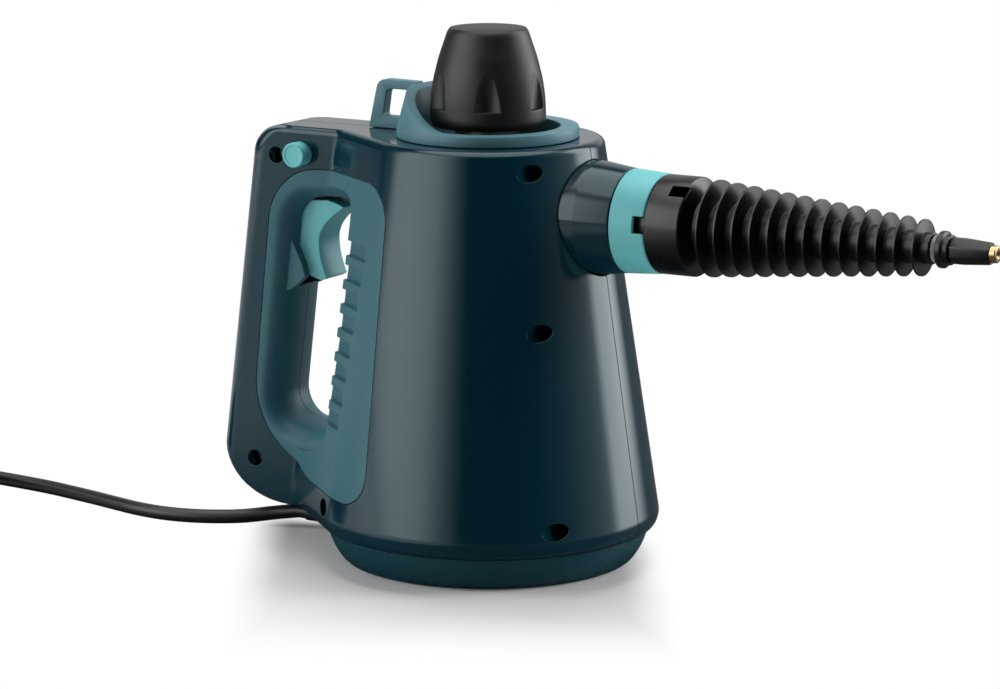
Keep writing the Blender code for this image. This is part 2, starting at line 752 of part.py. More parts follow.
def opening_form(name, margin, backing, turns):
    """Make the hand opening's space, grown by a margin, outside the body's cone."""
    half = HANDLE_THICKNESS / 2
    reach = RIM_RADIUS + OVERRUN
    stations = [(-reach, 1.0)]
    stations += [(half * math.sin(a), 1 - math.cos(a))
                 for a in np.linspace(-math.pi / 2, math.pi / 2, turns)]
    stations.append((reach, 1.0))
    rings = []
    for y, widening in stations:
        corners = opening_corners(widening, backing)
        outline = rounded_outline(grown(corners, margin) if margin else corners, OPENING_STEPS)
        rings.append([(x, y, z) for x, z in outline])
    form = loft(name, rings)
    shift = OPENING_SKIN - margin
    low, high = PANEL_LOW_Z - OVERRUN, PANEL_TOP_Z + OVERRUN
    profile = [(0, low), (cone_radius(low) + shift, low), (cone_radius(high) + shift, high), (0, high)]
    return combine(form, turned(name + "_cone", profile, CONE_SIDES), "DIFFERENCE")


# Screws: where they go, and the wells and bosses for them

def screw_places():
    """Return the six screw places as (x, z)."""
    return [(SPOUT_SCREW_X, SPOUT_SCREW_Z), (WAIST_SCREW_X, WAIST_SCREW_Z), (RIM_SCREW_X, RIM_SCREW_Z),
            (HANDLE_TOP_SCREW_X, HANDLE_TOP_SCREW_Z), (HANDLE_LOW_SCREW_X, HANDLE_LOW_SCREW_Z),
            (WEB_SCREW_X, WEB_SCREW_Z)]


def make_shell(name, side, material):
    """Make one housing shell, hollow, with its bosses, wells and openings."""
    reach = RIM_RADIUS + OVERRUN
    shell = housing_half(name, side)
    cavity = housing_core(name + "_cavity", SHELL_WALL)
    for k, (x, z) in enumerate(screw_places()):
        boss = rod(f"{name}_boss_{k}", SCREW_WELL_RADIUS + SCREW_BOSS_WALL, -reach, reach,
                   BOSS_SIDES, "Y", (x, 0, z))
        combine(cavity, boss, "DIFFERENCE")
    combine(shell, cavity, "DIFFERENCE")
    floor = rod(name + "_floor", SEAM_RADIUS - SHELL_WALL, SEAM_Z - OVERRUN, SEAM_Z + 2 * SHELL_WALL,
                CONE_SIDES)
    combine(shell, floor, "DIFFERENCE")
    panel = prism(name + "_panel_bay", rounded_outline(grown(panel_corners(), GAP), CORNER_STEPS),
                  side * reach, 0)
    combine(shell, panel, "DIFFERENCE")
    mouth = rod(name + "_collar_mouth", COLLAR_BORE_RADIUS + COLLAR_SKIRT_WALL + GAP,
                TOP_Z - OVERRUN - SHELL_WALL, TOP_Z + OVERRUN, COLLAR_SIDES)
    combine(shell, mouth, "DIFFERENCE")
    spout = rod(name + "_spout_mouth", SLEEVE_ROOT_RADIUS + GAP, SLEEVE_REAR_X - OVERRUN,
                SLEEVE_FRONT_X, SPOUT_SIDES, "X", (0, 0, SPOUT_Z))
    combine(shell, spout, "DIFFERENCE")
    button = rod(name + "_button_bore", BUTTON_RADIUS + GAP, side * reach, 0, BUTTON_SIDES, "Y",
                 (BUTTON_X, 0, BUTTON_Z))
    combine(shell, button, "DIFFERENCE")
    for k, (x, z) in enumerate(screw_places()):
        bore_end = SCREW_LENGTH - SCREW_SEAT_DEPTH + GAP
        if side < 0:
            profile = [(0, -reach), (SCREW_WELL_RADIUS, -reach), (SCREW_WELL_RADIUS, -SCREW_SEAT_DEPTH),
                       (SCREW_SHANK_RADIUS + GAP, -SCREW_SEAT_DEPTH), (SCREW_SHANK_RADIUS + GAP, OVERRUN),
                       (0, OVERRUN)]
        else:
            profile = [(0, -OVERRUN), (SCREW_SHANK_RADIUS + GAP, -OVERRUN),
                       (SCREW_SHANK_RADIUS + GAP, bore_end), (0, bore_end)]
        well = turned(f"{name}_well_{k}", profile, WELL_SIDES, "Y", (x, 0, z))
        combine(shell, well, "DIFFERENCE")
    return finish(shell, material)


def make_screw(name, x, z, material):
    """Make one self-tapping housing screw, its thread as a plain shank."""
    seat = -SCREW_SEAT_DEPTH - GAP
    crown = SCREW_HEAD_RADIUS * SCREW_CROWN_SHARE
    profile = [(0, seat - SCREW_HEAD_HEIGHT), (crown, seat - SCREW_HEAD_HEIGHT),
               (SCREW_HEAD_RADIUS, seat - SCREW_HEAD_HEIGHT / 2), (SCREW_HEAD_RADIUS, seat),
               (SCREW_SHANK_RADIUS, seat), (SCREW_SHANK_RADIUS, seat + SCREW_LENGTH - SCREW_SHANK_RADIUS),
               (0, seat + SCREW_LENGTH)]
    return finish(turned(name, profile, SCREW_SIDES, "Y", (x, 0, z)), material)


# Grip panels

def notch_outlines():
    """Return the grip notches as outlines of (x, z) points."""
    outlines = []
    for k in range(NOTCH_COUNT):
        z = NOTCH_TOP_Z - k * NOTCH_PITCH
        share = (OPENING_TOP_Z - z) / (OPENING_TOP_Z - OPENING_LOW_Z)
        edge = OPENING_RIGHT_TOP_X + (OPENING_RIGHT_LOW_X - OPENING_RIGHT_TOP_X) * share
        length = NOTCH_LENGTH_TOP + (NOTCH_LENGTH_LOW - NOTCH_LENGTH_TOP) * k / (NOTCH_COUNT - 1)
        half = NOTCH_HEIGHT / 2
        outlines.append([(edge - OVERRUN, z - half), (edge + length, z - half),
                         (edge + length, z + half), (edge - OVERRUN, z + half)])
    return outlines


def make_grip_panel(name, side, material):
    """Make one grip panel: its plate, the opening's lining, notches and pin boss."""
    reach = RIM_RADIUS + OVERRUN
    panel = prism(name, rounded_outline(panel_corners(), CORNER_STEPS), side * reach, 0)
    combine(panel, housing_core(name + "_inside", PANEL_WALL), "DIFFERENCE")
    lining = opening_form(name + "_lining", LINING_WALL, NOTCH_LENGTH_TOP, LINING_LEVELS)
    inner_outline = rounded_outline(grown(panel_corners(), -GAP), CORNER_STEPS)
    within = prism(name + "_within", inner_outline, -reach, reach)
    combine(lining, within, "INTERSECT")
    combine(panel, lining, "UNION")
    inner = HANDLE_THICKNESS / 2 - PANEL_WALL
    boss = rod(name + "_pin_boss", PIN_BOSS_RADIUS, side * (inner + GAP), side * (inner - PIN_BOSS_LENGTH),
               BOSS_SIDES, "Y", (TRIGGER_PIVOT_X, 0, TRIGGER_PIVOT_Z))
    combine(panel, boss, "UNION")
    combine(panel, housing_half(name + "_outside", side), "INTERSECT")
    combine(panel, opening_form(name + "_space", 0, 0, OPENING_LEVELS), "DIFFERENCE")
    window_half = TRIGGER_WIDTH / 2 + WINDOW_CLEARANCE
    window = box(name + "_window", (TRIGGER_BACK_X - OVERRUN, TRIGGER_HOLLOW_X),
                 (-window_half, window_half), (WINDOW_LOW_Z, WINDOW_TOP_Z))
    combine(panel, window, "DIFFERENCE")
    bore = rod(name + "_pin_bore", PIN_RADIUS + PIN_CLEARANCE, side * (inner - PIN_BOSS_LENGTH - OVERRUN),
               side * inner, PIN_SIDES, "Y", (TRIGGER_PIVOT_X, 0, TRIGGER_PIVOT_Z))
    combine(panel, bore, "DIFFERENCE")
    notches = prisms(name + "_notches", notch_outlines(), side * reach, 0)
    combine(notches, housing_core(name + "_notch_floor", NOTCH_DEPTH), "DIFFERENCE")
    combine(panel, notches, "DIFFERENCE")
    return finish(panel, material)


# Trigger and steam valve

def hollow_points():
    """Return the trigger's hollowed finger face, from its tip down to its toe."""
    points = []
    for k in range(TRIGGER_HOLLOW_STEPS + 1):
        share = k / TRIGGER_HOLLOW_STEPS
        z = TRIGGER_TIP_Z + (TRIGGER_TOE_Z - TRIGGER_TIP_Z) * (1 - math.cos(math.pi * share)) / 2
        reach = TRIGGER_TIP_X if share < 0.5 else TRIGGER_TOE_X
        points.append((TRIGGER_HOLLOW_X + (reach - TRIGGER_HOLLOW_X) * math.cos(math.pi * share) ** 2, z))
    return points


def make_trigger(material):
    """Make the trigger: a wide finger piece and a narrow arm above its pivot."""
    x, z = TRIGGER_PIVOT_X, TRIGGER_PIVOT_Z
    shoulder = z - TRIGGER_ARM_HALF
    outline = hollow_points()
    outline += [(TRIGGER_TOE_X - TRIGGER_LIP, TRIGGER_TOE_Z - TRIGGER_LIP / 2),
                (TRIGGER_BACK_X + TRIGGER_HEEL_RISE, TRIGGER_TOE_Z + TRIGGER_LIP),
                (TRIGGER_BACK_X, TRIGGER_TOE_Z + TRIGGER_HEEL_RISE),
                (TRIGGER_BACK_X, shoulder),
                (TRIGGER_TIP_X - 3 * TRIGGER_LIP, shoulder + TRIGGER_LIP / 2),
                (TRIGGER_TIP_X - TRIGGER_LIP, shoulder)]
    half = TRIGGER_WIDTH / 2
    trigger = prism("trigger", outline, -half, half)
    arm_half = TRIGGER_ARM_WIDTH / 2
    arm = box("trigger_arm", (x - TRIGGER_ARM_HALF, x + TRIGGER_ARM_HALF), (-arm_half, arm_half),
              (shoulder - OVERRUN, z + TRIGGER_ARM_RISE))
    combine(trigger, arm, "UNION")
    hub = rod("trigger_hub", PIN_BOSS_RADIUS, -arm_half, arm_half, PIN_SIDES, "Y", (x, 0, z))
    combine(trigger, hub, "UNION")
    bore = rod("trigger_bore", PIN_RADIUS + PIN_CLEARANCE, -half - OVERRUN, half + OVERRUN,
               PIN_SIDES, "Y", (x, 0, z))
    combine(trigger, bore, "DIFFERENCE")
    return finish(trigger, material, (x, 0, z))


def make_trigger_pin(material):
    """Make the pin that the trigger swings on."""
    half = HANDLE_THICKNESS / 2 - PANEL_WALL - GAP
    pin = rod("trigger_pin", PIN_RADIUS, -half, half, PIN_SIDES, "Y",
              (TRIGGER_PIVOT_X, 0, TRIGGER_PIVOT_Z))
    return finish(pin, material)


def make_trigger_spring(material):
    """Make the spring between the trigger's back and the handle's rear wall."""
    start = TRIGGER_BACK_X - GAP - SPRING_WIRE_RADIUS
    end = -handle_back(SPRING_Z, SHELL_WALL) + GAP + SPRING_WIRE_RADIUS
    count = SPRING_TURNS * SPRING_STEPS
    points = []
    for k in range(count + 1):
        angle = math.tau * k / SPRING_STEPS
        points.append((start + (end - start) * k / count, SPRING_RADIUS * math.cos(angle),
                       SPRING_Z + SPRING_RADIUS * math.sin(angle)))
    return finish(tube("trigger_spring", points, SPRING_WIRE_RADIUS, 1), material)


def rod_height():
    """Return the push rod's height, which the trigger's arm meets below its top."""
    return TRIGGER_PIVOT_Z + TRIGGER_ARM_RISE - ROD_RADIUS - PIN_CLEARANCE


def make_valve(material):
    """Make the steam valve's body, with the stem's bore in its side."""
    low = BOILER_TOP_Z + VALVE_PAD_HEIGHT + GAP
    valve = rod("steam_valve", VALVE_RADIUS, low, low + VALVE_HEIGHT, NECK_SIDES, "Z", (VALVE_X, 0, 0))
    mouth = VALVE_X - VALVE_RADIUS
    bore = rod("valve_bore", VALVE_BORE_RADIUS, mouth - OVERRUN, mouth + VALVE_BORE_DEPTH,
               BOSS_SIDES, "X", (0, 0, rod_height()))
    return finish(combine(valve, bore, "DIFFERENCE"), material)


def make_stem_and_rod(material):
    """Make the valve's stem and the rod that the trigger's arm pushes."""
    mouth = VALVE_X - VALVE_RADIUS
    height = rod_height()
    tip = mouth + STEM_GRIP
    stem = rod("valve_stem", STEM_RADIUS, tip - STEM_LENGTH, tip, BOSS_SIDES, "X", (0, 0, height))
    push = rod("push_rod", ROD_RADIUS, TRIGGER_PIVOT_X + TRIGGER_ARM_HALF + GAP, tip - STEM_LENGTH - GAP,
               WELL_SIDES, "X", (0, 0, height))
    finish(stem, material, (tip, 0, height))
    finish(push, material, (TRIGGER_PIVOT_X, 0, height))


def make_pipe(material):
    """Make the steam pipe from the valve, round the neck, to the spout."""
    start_z = BOILER_TOP_Z + VALVE_PAD_HEIGHT + VALVE_HEIGHT / 3
    end_x = OUTLET_REAR_X - GAP
    plan = [(VALVE_X * x, -PIPE_SWEEP * y) for x, y in PIPE_REAR_SHARES]
    plan += [(OUTLET_REAR_X * x, -PIPE_SWEEP * y) for x, y in PIPE_FRONT_SHARES]
    route = [(VALVE_X, -VALVE_RADIUS - GAP, start_z)]
    for k, (x, y) in enumerate(plan):
        route.append((x, y, start_z + (SPOUT_Z - start_z) * k / (len(plan) - 1)))
    route.append((end_x, 0, SPOUT_Z))
    return finish(tube("steam_pipe", smooth_points(route, 2 * PIPE_RADIUS), PIPE_RADIUS, 2), material)


def make_outlet(material):
    """Make the fitting that carries steam through the spout sleeve's web."""
    outlet = pipe("steam_outlet", OUTLET_RADIUS, LANCE_BORE_RADIUS, OUTLET_REAR_X, OUTLET_FRONT_X,
                  OUTLET_SIDES, "X", (0, 0, SPOUT_Z))
    return finish(outlet, material)


# Boiler

def make_boiler(material):
    """Make the boiler: a hollow vessel with a round mouth and a pad for the valve."""
    inner = BOILER_RADIUS - BOILER_WALL
    shoulder = BOILER_TOP_Z - BOILER_DOME_HEIGHT
    low, floor = BOILER_LOW_Z, BOILER_LOW_Z + BOILER_WALL
    dome = [(BOILER_RADIUS * r, shoulder + BOILER_DOME_HEIGHT * h) for r, h in BOILER_DOME_SHARES]
    outer = [(0, low), (BOILER_RADIUS - BOILER_LOW_ROUND, low), (BOILER_RADIUS, low + BOILER_LOW_ROUND)]
    boiler = turned("boiler", outer + dome + [(0, BOILER_TOP_Z)], BOILER_SIDES)
    pad = rod("valve_pad", VALVE_PAD_RADIUS, BOILER_TOP_Z - VALVE_PAD_DEPTH,
              BOILER_TOP_Z + VALVE_PAD_HEIGHT, NECK_SIDES, "Z", (VALVE_X, 0, 0))
    combine(boiler, pad, "UNION")
    flange = rod("flange_space", NECK_FLANGE_RADIUS + GAP, BOILER_TOP_Z, BOILER_TOP_Z + OVERRUN, NECK_SIDES)
    combine(boiler, flange, "DIFFERENCE")
    hollow = [(0, floor), (inner - BOILER_LOW_ROUND, floor), (inner, floor + BOILER_LOW_ROUND)]
    hollow += [(r - BOILER_WALL, z - BOILER_WALL) for r, z in dome]
    hollow += [(NECK_BORE_RADIUS, BOILER_TOP_Z - BOILER_WALL), (NECK_BORE_RADIUS, BOILER_TOP_Z + OVERRUN),
               (0, BOILER_TOP_Z + OVERRUN)]
    combine(boiler, turned("boiler_hollow", hollow, BOILER_SIDES), "DIFFERENCE")
    return finish(boiler, material)


def make_neck(material):
    """Make the threaded neck that the cap screws into, its thread as a plain bore."""
    low = BOILER_TOP_Z + GAP
    flange_top = low + NECK_FLANGE_HEIGHT
    profile = [(NECK_BORE_RADIUS, low), (NECK_FLANGE_RADIUS, low), (NECK_FLANGE_RADIUS, flange_top),
               (NECK_RADIUS, flange_top), (NECK_RADIUS, NECK_TOP_Z), (NECK_BORE_RADIUS, NECK_TOP_Z)]
    return finish(turned("boiler_neck", profile, NECK_SIDES), material)


def make_neck_seal(material):
    """Make the rubber seal that closes the housing round the neck."""
    seal = pipe("neck_seal", COLLAR_BORE_RADIUS - GAP, NECK_RADIUS + GAP, SEAL_LOW_Z,
                SEAL_LOW_Z + SEAL_THICKNESS, COLLAR_SIDES)
    return finish(seal, material)


def make_element(material):
    """Make the tubular heating element under the boiler."""
    z = BOILER_LOW_Z - GAP - ELEMENT_TUBE_RADIUS
    start, end = ELEMENT_OPEN_ANGLE / 2, math.tau - ELEMENT_OPEN_ANGLE / 2
    points = [(ELEMENT_RING_RADIUS * math.cos(a), ELEMENT_RING_RADIUS * math.sin(a), z)
              for a in np.linspace(start, end, ELEMENT_STEPS + 1)]
    return finish(tube("heating_element", points, ELEMENT_TUBE_RADIUS, 2), material)


def make_thermostat(material):
    """Make the thermostat, a button that sits against the boiler's side."""
    start = BOILER_RADIUS + GAP
    thermostat = rod("thermostat", THERMOSTAT_RADIUS, start, start + THERMOSTAT_HEIGHT, LANCE_SIDES, "Y",
                     (0, 0, THERMOSTAT_Z))
    return finish(thermostat, material)


def make_fuse(material):
    """Make the thermal fuse, which lies upright against the boiler."""
    centre = BOILER_RADIUS + GAP + FUSE_RADIUS
    fuse = rod("thermal_fuse", FUSE_RADIUS, FUSE_Z, FUSE_Z + FUSE_LENGTH, SCREW_SIDES, "Z", (0, centre, 0))
    return finish(fuse, material)


# Base, collar, cap

def base_side(inset):
    """Return the base cup's side from the floor up as (radius, height), drawn in by an inset."""
    top = SEAM_Z - GAP
    widen = SEAM_RADIUS - GAP - BASE_CONTACT_RADIUS
    points = [(BASE_CONTACT_RADIUS - inset, inset)]
    for out_share, up_share in BASE_SIDE_SHARES:
        height = max(inset, top * up_share)
        points.append((BASE_CONTACT_RADIUS + widen * out_share - inset, height))
    return points


def make_base_cup(material):
    """Make the base cup, with a lip into the shells, a boiler seat and the lead's hole."""
    lip = SEAM_RADIUS - SHELL_WALL - GAP
    lip_top = SEAM_Z + BASE_LIP_HEIGHT
    top = SEAM_Z - GAP
    seat_top = BOILER_LOW_Z - GAP
    inner_seat = BASE_SEAT_RADIUS - BASE_SEAT_WALL
    inside = base_side(BASE_WALL)
    profile = [(0, 0)] + base_side(0)
    profile += [(lip, top), (lip, lip_top), (lip - BASE_LIP_WALL, lip_top)]
    profile += [point for point in reversed(inside[1:-1])]
    profile += [(BASE_CONTACT_RADIUS - BASE_WALL, BASE_FLOOR), (BASE_SEAT_RADIUS, BASE_FLOOR),
                (BASE_SEAT_RADIUS, seat_top), (inner_seat, seat_top), (inner_seat, BASE_FLOOR),
                (0, BASE_FLOOR)]
    base = turned("base_cup", profile, BASE_SIDES)
    hole = rod("gland_hole", GLAND_NECK_RADIUS + GLAND_CLEARANCE, GLAND_OUTER_X - OVERRUN,
               GLAND_INNER_X + OVERRUN, GLAND_SIDES, "X", (0, 0, GLAND_Z))
    return finish(combine(base, hole, "DIFFERENCE"), material)


def make_collar(material):
    """Make the collar round the cap, which sweeps up at the rear and carries the eye."""
    seat = TOP_Z + GAP
    skirt = COLLAR_BORE_RADIUS + COLLAR_SKIRT_WALL
    low = TOP_Z - COLLAR_SKIRT_DEPTH
    profile = [(COLLAR_BORE_RADIUS, low), (skirt, low), (skirt, seat), (COLLAR_RADIUS, seat),
               (COLLAR_RADIUS, COLLAR_EDGE_Z), (COLLAR_REAR_RADIUS, COLLAR_REAR_Z),
               (COLLAR_BORE_RADIUS, COLLAR_REAR_Z)]
    collar = turned("collar", profile, COLLAR_SIDES)
    rise = COLLAR_REAR_Z - COLLAR_FRONT_Z
    run = COLLAR_SWEEP_START_X - COLLAR_SWEEP_END_X
    sweep = [(COLLAR_RADIUS + OVERRUN, COLLAR_FRONT_Z)]
    for k in range(COLLAR_SWEEP_STEPS + 1):
        share = k / COLLAR_SWEEP_STEPS
        sweep.append((COLLAR_SWEEP_START_X - run * share,
                      COLLAR_FRONT_Z + rise * share ** COLLAR_SWEEP_POWER))
    sweep += [(COLLAR_SWEEP_END_X, COLLAR_REAR_Z + OVERRUN),
              (COLLAR_RADIUS + OVERRUN, COLLAR_REAR_Z + OVERRUN)]
    reach = COLLAR_RADIUS + OVERRUN
    combine(collar, prism("collar_sweep", sweep, -reach, reach), "DIFFERENCE")
    half = EYE_WIDTH / 2
    eye = prism("eye_plate", rounded_outline(
        [(EYE_FOOT_X, seat, GAP), (EYE_HEAD_X, EYE_TOP_Z, EYE_CORNER),
         (EYE_ROOT_X, EYE_TOP_Z - GAP, GAP), (EYE_ROOT_X, seat, GAP)], CORNER_STEPS), -half, half)
    bore = turned("eye_bore", [(0, low), (COLLAR_BORE_RADIUS + GAP, low),
                               (COLLAR_BORE_RADIUS + GAP, EYE_TOP_Z + OVERRUN), (0, EYE_TOP_Z + OVERRUN)],
                  COLLAR_SIDES)
    combine(eye, bore, "DIFFERENCE")
    combine(collar, eye, "UNION")
    hole = prism("eye_hole", rounded_outline(
        [(EYE_HOLE_REAR_X, EYE_HOLE_LOW_Z, GAP), (EYE_HOLE_REAR_X, EYE_HOLE_TOP_Z, EYE_CORNER / 2),
         (EYE_HOLE_HEAD_X, EYE_HOLE_TOP_Z, GAP), (EYE_HOLE_FRONT_X, EYE_HOLE_LOW_Z, GAP)], 2),
        -half - OVERRUN, half + OVERRUN)
    combine(collar, hole, "DIFFERENCE")
    return finish(collar, material)


def make_cap_knob(material):
    """Make the cap's fluted knob, hollow round the stem that holds the plug."""
    height = CAP_TOP_Z - CAP_LOW_Z
    side = [(CAP_WIDE_RADIUS * r, CAP_LOW_Z + height * h) for r, h in CAP_SIDE_SHARES]
    roof = CAP_TOP_Z - CAP_ROOF
    hub_low = NECK_TOP_Z + GAP + GASKET_THICKNESS + GAP + PLUG_FLANGE_HEIGHT + GAP
    stem_top = PLUG_STEM_TOP_Z + GAP
    hub = PLUG_FLANGE_RADIUS
    profile = side + [(0, CAP_TOP_Z), (0, stem_top), (CAP_STEM_BORE_RADIUS, stem_top),
                      (CAP_STEM_BORE_RADIUS, hub_low), (hub, hub_low), (hub, roof - CAP_ROOF),
                      (CAP_WIDE_RADIUS * CAP_SIDE_SHARES[-1][0] - BASE_WALL, roof - CAP_ROOF),
                      (CAP_BORE_RADIUS, CAP_LOW_Z + height * CAP_SIDE_SHARES[3][1]),
                      (CAP_BORE_RADIUS, CAP_LOW_Z)]
    knob = turned("cap_knob", profile, CAP_SIDES)
    for k in range(FLUTE_COUNT):
        angle = math.tau * k / FLUTE_COUNT
        centre = (FLUTE_AXIS_RADIUS * math.cos(angle), FLUTE_AXIS_RADIUS * math.sin(angle), 0)
        flute = turned(f"flute_{k}", [(0, FLUTE_LOW_Z), (FLUTE_LOW_RADIUS, FLUTE_LOW_Z),
                                      (FLUTE_TOP_RADIUS, FLUTE_LOW_Z + FLUTE_HEIGHT),
                                      (0, FLUTE_LOW_Z + FLUTE_HEIGHT)], FLUTE_SIDES, "Z", centre, angle)
        combine(knob, flute, "DIFFERENCE")
    return finish(knob, material, (0, 0, CAP_LOW_Z))


def make_cap_plug(material):
    """Make the cap's brass plug, its thread as a plain cylinder."""
    gasket_top = NECK_TOP_Z + GAP + GASKET_THICKNESS
    flange_low = gasket_top + GAP
    flange_top = flange_low + PLUG_FLANGE_HEIGHT
    stem = CAP_STEM_BORE_RADIUS - GAP
    thread = PLUG_THREAD_RADIUS - GAP
    profile = [(0, PLUG_LOW_Z), (thread, PLUG_LOW_Z), (thread, flange_low), (PLUG_FLANGE_RADIUS, flange_low),
               (PLUG_FLANGE_RADIUS, flange_top), (stem, flange_top), (stem, PLUG_STEM_TOP_Z),
               (0, PLUG_STEM_TOP_Z)]
    return finish(turned("cap_plug", profile, NECK_SIDES), material, (0, 0, PLUG_LOW_Z))


def make_cap_gasket(material):
    """Make the silicone gasket between the plug's flange and the neck."""
    low = NECK_TOP_Z + GAP
    gasket = pipe("cap_gasket", GASKET_RADIUS, PLUG_THREAD_RADIUS + GAP / 2, low, low + GASKET_THICKNESS,
                  NECK_SIDES)
    return finish(gasket, material, (0, 0, low))


# Spout and nozzle

def make_sleeve(material):
    """Make the spout sleeve, with its inner web and the neck that holds the ring."""
    inner = SLEEVE_FRONT_RADIUS - SLEEVE_WALL
    neck_front = SLEEVE_FRONT_X + SLEEVE_NECK_LENGTH
    web_front = SLEEVE_WEB_X + SLEEVE_WEB_THICKNESS
    neck_inner = SLEEVE_NECK_RADIUS - SLEEVE_WALL
    profile = [(inner, SLEEVE_REAR_X), (SLEEVE_ROOT_RADIUS, SLEEVE_REAR_X),
               (SLEEVE_ROOT_RADIUS, SLEEVE_ROOT_X), (SLEEVE_FRONT_RADIUS, SLEEVE_FRONT_X),
               (SLEEVE_NECK_RADIUS, SLEEVE_FRONT_X),
               (SLEEVE_NECK_RADIUS, neck_front), (neck_inner, neck_front), (neck_inner, web_front),
               (OUTLET_RADIUS + GAP, web_front), (OUTLET_RADIUS + GAP, SLEEVE_WEB_X), (inner, SLEEVE_WEB_X)]
    return finish(turned("spout_sleeve", profile, SPOUT_SIDES, "X", (0, 0, SPOUT_Z)), material)


def make_ring(material):
    """Make the bayonet ring, with a groove for the lugs and two entry notches."""
    bore = SLEEVE_NECK_RADIUS + GAP
    rear = SLEEVE_FRONT_X + GAP
    lip = RING_FRONT_X - RING_LIP_LENGTH
    profile = [(bore, rear), (SLEEVE_FRONT_RADIUS, rear), (RING_FRONT_RADIUS, RING_FRONT_X),
               (RING_LIP_RADIUS, RING_FRONT_X), (RING_LIP_RADIUS, lip), (bore, lip)]
    ring = turned("bayonet_ring", profile, SPOUT_SIDES, "X", (0, 0, SPOUT_Z))
    half = RING_NOTCH_WIDTH / 2
    reach = SLEEVE_FRONT_RADIUS + OVERRUN
    for k in range(2):
        notch = box(f"ring_notch_{k}", (lip - OVERRUN / 2, RING_FRONT_X + OVERRUN), (0, reach),
                    (-half, half))
        notch.location = (0, 0, SPOUT_Z)
        notch.rotation_euler = (RING_NOTCH_ANGLE + math.pi / 2 + math.pi * k, 0, 0)
        combine(ring, notch, "DIFFERENCE")
    return finish(ring, material)


def rib_radius(x):
    """Return the radius that the rib tops have at a place along the nozzle."""
    first = RING_FRONT_X + CUFF_LENGTH
    last = first + RIB_COUNT * RIB_PITCH
    return CUFF_RADIUS + (RIB_LAST_RADIUS - CUFF_RADIUS) * (x - first) / (last - first)


def make_nozzle(material):
    """Make the ribbed nozzle cone with its cuff, bayonet spigot and lugs."""
    cuff_rear = RING_FRONT_X + GAP
    cuff_front = RING_FRONT_X + CUFF_LENGTH
    spigot_rear = cuff_rear - CUFF_SPIGOT_LENGTH
    spigot = RING_LIP_RADIUS - GAP
    end = cuff_front + RIB_COUNT * RIB_PITCH
    tail = end + CORE_TAIL_LENGTH
    bore_end = LANCE_RADIUS + GAP
    profile = [(spigot - NOZZLE_WALL, spigot_rear), (spigot, spigot_rear), (spigot, cuff_rear),
               (CUFF_RADIUS, cuff_rear), (CUFF_RADIUS, cuff_front - RIB_THICKNESS)]
    for k in range(RIB_COUNT):
        share = k / RIB_COUNT
        groove = cuff_front + k * RIB_PITCH
        top = groove + RIB_PITCH - RIB_THICKNESS
        core = CORE_FIRST_RADIUS + (CORE_LAST_RADIUS - CORE_FIRST_RADIUS) * share
        profile += [(core, groove), (core, top - RIB_THICKNESS / 2), (rib_radius(top), top),
                    (rib_radius(top), top + RIB_THICKNESS / 2)]
    profile += [(CORE_LAST_RADIUS, end), (CORE_LAST_RADIUS, tail), (bore_end, tail),
                (bore_end, end - RIB_PITCH), (CORE_LAST_RADIUS - NOZZLE_WALL + GAP, end - 2 * RIB_PITCH),
                (CORE_FIRST_RADIUS - NOZZLE_WALL, cuff_front)]
    nozzle = turned("nozzle_cone", profile, NOZZLE_SIDES, "X", (0, 0, SPOUT_Z))
    half = LUG_WIDTH / 2
    lug_front = RING_FRONT_X - RING_LIP_LENGTH - GAP
    for k in range(2):
        lug = box(f"bayonet_lug_{k}", (lug_front - LUG_LENGTH, lug_front),
                  (spigot - NOZZLE_WALL / 2, SLEEVE_NECK_RADIUS - GAP), (-half, half))
        lug.location = (0, 0, SPOUT_Z)
        lug.rotation_euler = (RING_NOTCH_ANGLE + math.pi / 2 + math.pi * k + NOZZLE_TWIST, 0, 0)
        combine(nozzle, lug, "UNION")
    port_half = CUFF_PORT_WIDTH / 2
    port = box("cuff_port", (CUFF_PORT_X - CUFF_PORT_LENGTH / 2, CUFF_PORT_X + CUFF_PORT_LENGTH / 2),
               (CORE_FIRST_RADIUS - NOZZLE_WALL, CUFF_RADIUS + OVERRUN), (-port_half, port_half))
    port.location = (0, 0, SPOUT_Z)
    port.rotation_euler = (CUFF_PORT_ANGLE, 0, 0)
    combine(nozzle, port, "DIFFERENCE")
    return finish(nozzle, material, (cuff_rear, 0, SPOUT_Z))


def nozzle_end():
    """Return where the nozzle cone ends along the spout."""
    return RING_FRONT_X + CUFF_LENGTH + RIB_COUNT * RIB_PITCH + CORE_TAIL_LENGTH


